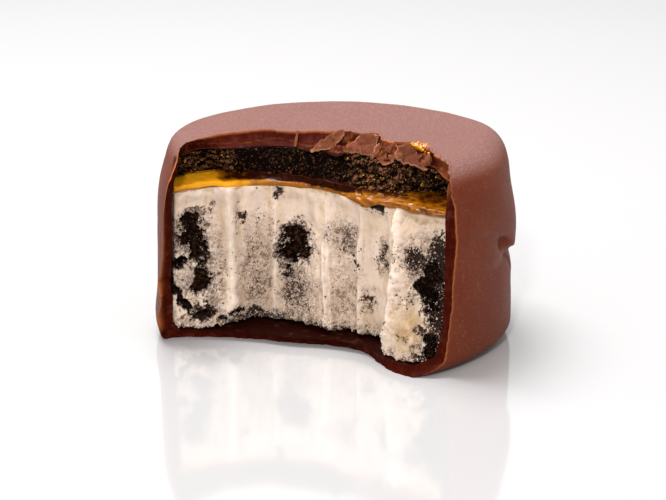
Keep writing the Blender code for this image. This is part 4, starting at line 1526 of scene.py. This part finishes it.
@dataclass(frozen=True)
class Shard:
    """A chip of chocolate or a blob of caramel on the break: its outline, thickness and bulge."""

    name: str
    outline: tuple[Triple, ...]
    thick: float
    bulge: float
    rough: float = 0.3
    facets: float = 1.6
    facet_size: float = 2.7

    def make(self, material: Material, slot: Slot, noise: Noise) -> Piece:
        """Make the chip: two crumpled faces that meet round its outline."""
        corners = np.array(self.outline, float)
        outline = spline(corners, even_places(corners, CHIP_POINTS, closed=True), closed=True)
        outline = 0.2 * outline + 0.8 * self._straight(corners)
        middle = outline.mean(axis=0)
        facing = unit(np.sum(np.cross(outline - middle, np.roll(outline, -1, axis=0) - middle), axis=0))
        facing = facing * -np.sign(facing[1] - facing[2])
        jag = noise.rough(outline, 0.9, 4, 0.6) * self.rough
        outline = outline + unit(outline - middle) * jag[:, None]
        skin = LoopSkin("edge", "deep", "bloom")
        shares = (0.08, 0.18, 0.28, 0.38, 0.48, 0.58, 0.67, 0.75, 0.82, 0.88, 0.93, 0.97, 1.0)
        for side, steps in ((1.0, shares), (-1.0, shares[-2::-1])):
            for share in steps:
                loop = middle + (outline - middle) * share
                dome = math.sqrt(max(0.0, 1.0 - share ** 4))
                out = (self.bulge if side > 0 else -self.thick) * dome
                near, second, offset, number = noise.cells(loop, self.facet_size)
                tilts = noise.slopes[number]
                facets = self.facets * np.einsum("ij,ij->i", tilts, offset)
                crumple = (0.5 * self.rough * noise.rough(loop, 1.1, 3) + facets) * dome
                # Painted glow round the outline and painted highlights between facets; painted shade on
                # facets by their tilt
                pale = 0.7 * bell(1.0 - share, 0.05) + 0.25 * bell(second - near, 0.03)
                facet_shade = np.clip(0.14 + 0.34 * tilts[:, 2], 0.0, 0.5)
                skin.add(loop + facing * (out + crumple)[:, None], edge=pale if side > 0 else 0.3,
                         deep=0.3, bloom=facet_shade)
        return finish_piece(skin.make(self.name, material), slot)

    def _straight(self, corners: Array) -> Array:
        """Return the outline with straight sides, at as many points as the rounded one."""
        ends = np.concatenate([corners, corners[:1]])
        length = np.concatenate([[0.0], np.cumsum(np.linalg.norm(np.diff(ends, axis=0), axis=1))])
        wanted = np.linspace(0.0, length[-1], CHIP_POINTS, endpoint=False)
        return np.stack([np.interp(wanted, length, ends[:, k]) for k in range(3)], axis=1)


CHIPS = (
    Shard("crack_sliver", ((-7.5, 3.8, 35.7), (-7.1, 6.5, 37.8), (-6.6, 6.5, 38.0), (-7.1, 3.6, 35.6)),
          0.3, 0.2, 0.08),
    Shard("curled_chip", ((11.4, -6.2, 35.8), (12.4, -4.8, 37.8), (14.8, -4.2, 38.2), (17.0, -5.0, 38.0),
                          (18.9, -7.4, 36.8), (18.5, -9.8, 35.3), (16.8, -11.0, 34.6), (15.0, -9.8, 35.4),
                          (13.2, -8.2, 35.5)), 0.6, 0.45),
    Shard("long_chip", ((-4.4, 0.9, 35.1), (-2.4, 3.2, 36.8), (0.8, 6.0, 38.0), (2.4, 6.0, 38.0),
                        (1.8, 3.6, 37.2), (-0.6, 1.0, 35.7)), 0.4, 0.3),
    Shard("middle_chip", ((2.0, 0.4, 35.3), (4.6, 3.6, 37.4), (7.6, 4.2, 38.0), (8.6, 2.6, 37.6),
                          (7.8, -2.6, 35.4), (5.2, -0.8, 35.0)), 0.4, 0.5),
    Shard("low_chip", ((7.0, -3.2, 35.0), (8.2, -0.4, 37.0), (10.2, -0.8, 37.6), (11.9, -2.6, 37.7),
                       (12.3, -4.6, 36.6), (11.7, -6.4, 35.3), (9.5, -6.3, 34.6)), 0.4, 0.3),
)
CHIPPED = BrokenChocolateFinish("chipped_chocolate", (0.165, 0.046, 0.021), (0.250, 0.092, 0.048),
                                painted_edge_glow=(0.62, 0.27, 0.14))
BLOB = Shard("caramel_blob", ((14.2, -4.8, 38.2), (16.0, -4.6, 38.5), (17.8, -5.4, 38.3),
                              (19.4, -7.4, 37.3), (19.4, -9.2, 36.1), (18.2, -8.8, 36.5),
                              (17.2, -7.6, 37.3), (15.8, -6.4, 38.0)), 0.5, 0.5, 0.3, 0.4)


# --------------------------------------------------------------------------- strewn grains


@dataclass(frozen=True)
class Grain:
    """One kind of small grain that lies on a bitten face.

    Its density is the grains on each square millimetre where the paint is 1, its sizes are radii, its
    flatness says how much flatter than round the flattest one is, and its lift how far the grains'
    middles stand off the face.
    """

    name: str
    slot: Slot
    paint: str
    seed: int
    density: float
    smallest: float
    largest: float
    lift: float = 0.0
    flatness: float = 0.4


CRUMBS = Grain("cookie_crumbs", Slot.COOKIE, "crumbs", 3, 1.8, 0.04, 0.20)
CRYSTALS = Grain("frost_crystals", Slot.ICE_CREAM, "frost", 13, 8.0, 0.05, 0.20, 0.02)
TOASTED = Grain("biscuit_grains", Slot.BISCUIT, "shade", 31, 11.0, 0.04, 0.19)
DROPS = Grain("caramel_drops", Slot.CARAMEL, "shade", 57, 0.5, 0.06, 0.20)
CRUMB_LOOK = CrumbFinish("crumb", (0.020, 0.009, 0.005), (0.130, 0.060, 0.032), 0.3)
TOASTED_LOOK = CrumbFinish("biscuit_grain", (0.010, 0.004, 0.002), (0.230, 0.098, 0.042), 0.4)


class Strewn:
    """Geometry Nodes that strew one kind of small grain over the painted parts of a carrier."""

    def __init__(self, grain: Grain, material: Material) -> None:
        """Build the node tree for a kind of grain and what it is made of."""
        self.grain = grain
        self.tree = bpy.data.node_groups.new(grain.name, "GeometryNodeTree")
        self.sockets: dict[str, str] = {}
        self._input("Carrier", "NodeSocketGeometry")
        for key in ("Density", "Smallest", "Largest", "Flatness", "Lift"):
            self._input(key, "NodeSocketFloat")
        self.tree.interface.new_socket("Grains", in_out="OUTPUT", socket_type="NodeSocketGeometry")
        self._wire(material, grain.paint, grain.seed)

    def _input(self, name: str, kind: str) -> None:
        """Add one named input and keep its identifier."""
        made = self.tree.interface.new_socket(name, in_out="INPUT", socket_type=kind)
        self.sockets[name] = made.identifier

    def _node(self, kind: str, inputs: dict[str | int, object], **settings: object) -> bpy.types.Node:
        """Add a node to the tree."""
        return add_node(self.tree, kind, inputs, **settings)

    def _math(self, operation: str, a: object, b: object) -> Socket:
        """Return the result of a math node."""
        return self._node("ShaderNodeMath", {0: a, 1: b}, operation=operation).outputs[0]

    def _random(self, seed: int) -> Socket:
        """Return a random value from 0 to 1 for each grain."""
        node = self._node("FunctionNodeRandomValue", {"Seed": seed}, data_type="FLOAT")
        return next(s for s in node.outputs if s.type == "VALUE" and s.enabled)

    def _wire(self, material: Material, paint: str, seed: int) -> None:
        """Wire the tree from its inputs to its output."""
        given = self.tree.nodes.new("NodeGroupInput").outputs
        painted = self._node("GeometryNodeInputNamedAttribute", {"Name": paint}, data_type="FLOAT")
        density = self._math("MULTIPLY", painted.outputs["Attribute"], given["Density"])
        points = self._node("GeometryNodeDistributePointsOnFaces",
                            {"Mesh": given["Carrier"], "Density": density, "Seed": seed},
                            distribute_method="RANDOM")
        lift = self._node("ShaderNodeVectorMath", {0: points.outputs["Normal"], "Scale": given["Lift"]},
                          operation="SCALE")
        lifted = self._node("GeometryNodeSetPosition",
                            {"Geometry": points.outputs["Points"], "Offset": lift.outputs[0]})
        ball = self._node("GeometryNodeMeshIcoSphere", {"Radius": 1.0, "Subdivisions": 1})
        angles = {k: self._math("MULTIPLY", self._random(seed + k + 1), 2.0 * math.pi) for k in range(3)}
        turn = self._node("ShaderNodeCombineXYZ", angles)
        share = self._math("POWER", self._random(seed + 5), FEW_LARGE)
        spread = self._math("SUBTRACT", given["Largest"], given["Smallest"])
        size = self._math("ADD", given["Smallest"], self._math("MULTIPLY", spread, share))
        flat = self._math("MULTIPLY", self._random(seed + 6), given["Flatness"])
        wide = self._math("MULTIPLY", size, self._math("ADD", self._random(seed + 7), 0.5))
        high = self._math("MULTIPLY", size, self._math("SUBTRACT", 1.0, flat))
        scale = self._node("ShaderNodeCombineXYZ", {0: wide, 1: size, 2: high})
        placed = self._node("GeometryNodeInstanceOnPoints",
                            {"Points": lifted.outputs[0], "Instance": ball.outputs["Mesh"],
                             "Rotation": turn.outputs[0], "Scale": scale.outputs[0]})
        shaded = self._node("GeometryNodeStoreNamedAttribute",
                            {"Geometry": placed.outputs[0], "Name": "shade",
                             "Value": self._random(seed + 8)}, data_type="FLOAT", domain="INSTANCE")
        real = self._node("GeometryNodeRealizeInstances", {"Geometry": shaded.outputs[0]})
        dressed = self._node("GeometryNodeSetMaterial", {"Geometry": real.outputs[0], "Material": material})
        self._node("NodeGroupOutput", {0: dressed.outputs[0]})

    def over(self, carrier: Piece) -> Piece:
        """Strew the grains over a carrier, as a plain mesh of their own."""
        grain = self.grain
        helper = bpy.data.objects.new(grain.name + "_carrier", carrier.data)
        bpy.context.scene.collection.objects.link(helper)
        strew = helper.modifiers.new("strew", "NODES")
        strew.node_group = self.tree
        values = {"Density": grain.density / MM ** 2, "Smallest": grain.smallest * MM,
                  "Largest": grain.largest * MM, "Flatness": grain.flatness, "Lift": grain.lift * MM}
        for key, value in values.items():
            strew[self.sockets[key]] = value
        bpy.context.view_layer.update()
        graph = bpy.context.evaluated_depsgraph_get()
        mesh = bpy.data.meshes.new_from_object(helper.evaluated_get(graph), depsgraph=graph)
        bpy.data.objects.remove(helper)
        mesh.name = grain.name
        piece = bpy.data.objects.new(grain.name, mesh)
        bpy.context.scene.collection.objects.link(piece)
        return finish_piece(piece, grain.slot)


# --------------------------------------------------------------------------- the stage


@dataclass
class Stage:
    """Camera, pale floor, white surroundings and soft lights."""

    aim: Triple = (0.0, 0.0, 15.8)
    distance: float = 400.0
    elevation: float = 17.5
    lens: float = 111.6
    sensor: float = 36.0
    clip_end: float = 20.0
    floor_size: float = 6000.0
    floor_colour: Triple = (0.53, 0.52, 0.52)
    floor_sunk: float = 0.01
    sky: float = 0.76
    lights: tuple[tuple[str, Triple, float, float], ...] = (
        ("top_light", (-110.0, 190.0, 580.0), 320.0, 5.2),
        ("front_light", (-60.0, -460.0, 340.0), 40.0, 1.4),
    )

    def camera(self) -> None:
        """Place the camera."""
        tilt = math.radians(self.elevation)
        back = Vector((0.0, -math.cos(tilt), math.sin(tilt)))
        data = bpy.data.cameras.new("camera")
        data.lens = self.lens
        data.sensor_width = self.sensor
        data.clip_end = self.clip_end
        camera = bpy.data.objects.new("camera", data)
        camera.location = (Vector(self.aim) + back * self.distance) * MM
        camera.rotation_euler = (-back).to_track_quat("-Z", "Y").to_euler()
        bpy.context.scene.collection.objects.link(camera)
        bpy.context.scene.camera = camera

    def floor(self) -> None:
        """Lay a pale, slightly glossy floor."""
        material = Shader("pale_floor", Roughness=0.075, IOR=2.2).wear(Base_Color=self.floor_colour)
        half, z = 0.5 * self.floor_size, -self.floor_sunk
        points = np.array([(-half, -half, z), (half, -half, z), (half, half, z), (-half, half, z)])
        floor = make_mesh("floor", points, np.array([[0, 1, 2, 3]]), np.zeros((0, 3), int), {}, material)

    def light(self, name: str, place: Triple, size: float, power: float) -> None:
        """Hang one square soft light that points at the cake."""
        data = bpy.data.lights.new(name, "AREA")
        data.size = size * MM
        data.energy = power
        lamp = bpy.data.objects.new(name, data)
        lamp.location = Vector(place) * MM
        lamp.rotation_euler = (Vector(self.aim) - Vector(place)).to_track_quat("-Z", "Y").to_euler()
        bpy.context.scene.collection.objects.link(lamp)

    def make(self) -> None:
        """Set everything up."""
        self.camera()
        self.floor()
        world = bpy.data.worlds.new("studio")
        world.use_nodes = True
        background = world.node_tree.nodes["Background"]
        background.inputs["Color"].default_value = (1.0, 1.0, 1.0, 1.0)
        background.inputs["Strength"].default_value = self.sky
        bpy.context.scene.world = world
        bpy.context.scene.view_settings.view_transform = "Standard"
        for name, place, size, power in self.lights:
            self.light(name, place, size, power)


def build_cake(form: CakeForm) -> None:
    """Build every piece of the cake."""
    Coating(form).make()
    ice = IceCream(form)
    ice_piece = ice.make()
    CookiePieces(ice).make()
    biscuit = Biscuit(form).make()
    caramel = Caramel(form).make()
    noise, chipped, syrup = Noise(91), CHIPPED.material(), caramel.active_material
    for chip in CHIPS:
        chip.make(chipped, Slot.CHOCOLATE, noise)
    BLOB.make(syrup, Slot.CARAMEL, noise)
    Strewn(CRUMBS, CRUMB_LOOK.material()).over(ice_piece)
    Strewn(CRYSTALS, FrostFinish().material()).over(ice_piece)
    Strewn(TOASTED, TOASTED_LOOK.material()).over(biscuit)
    Strewn(DROPS, syrup).over(biscuit)


def main() -> None:
    """Build the cake and its stage."""
    logging.basicConfig(level=logging.INFO, format="%(name)s %(message)s")
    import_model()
    build_cake(CakeForm.from_frame())
    Stage().make()


if __name__ == "__main__":
    main()
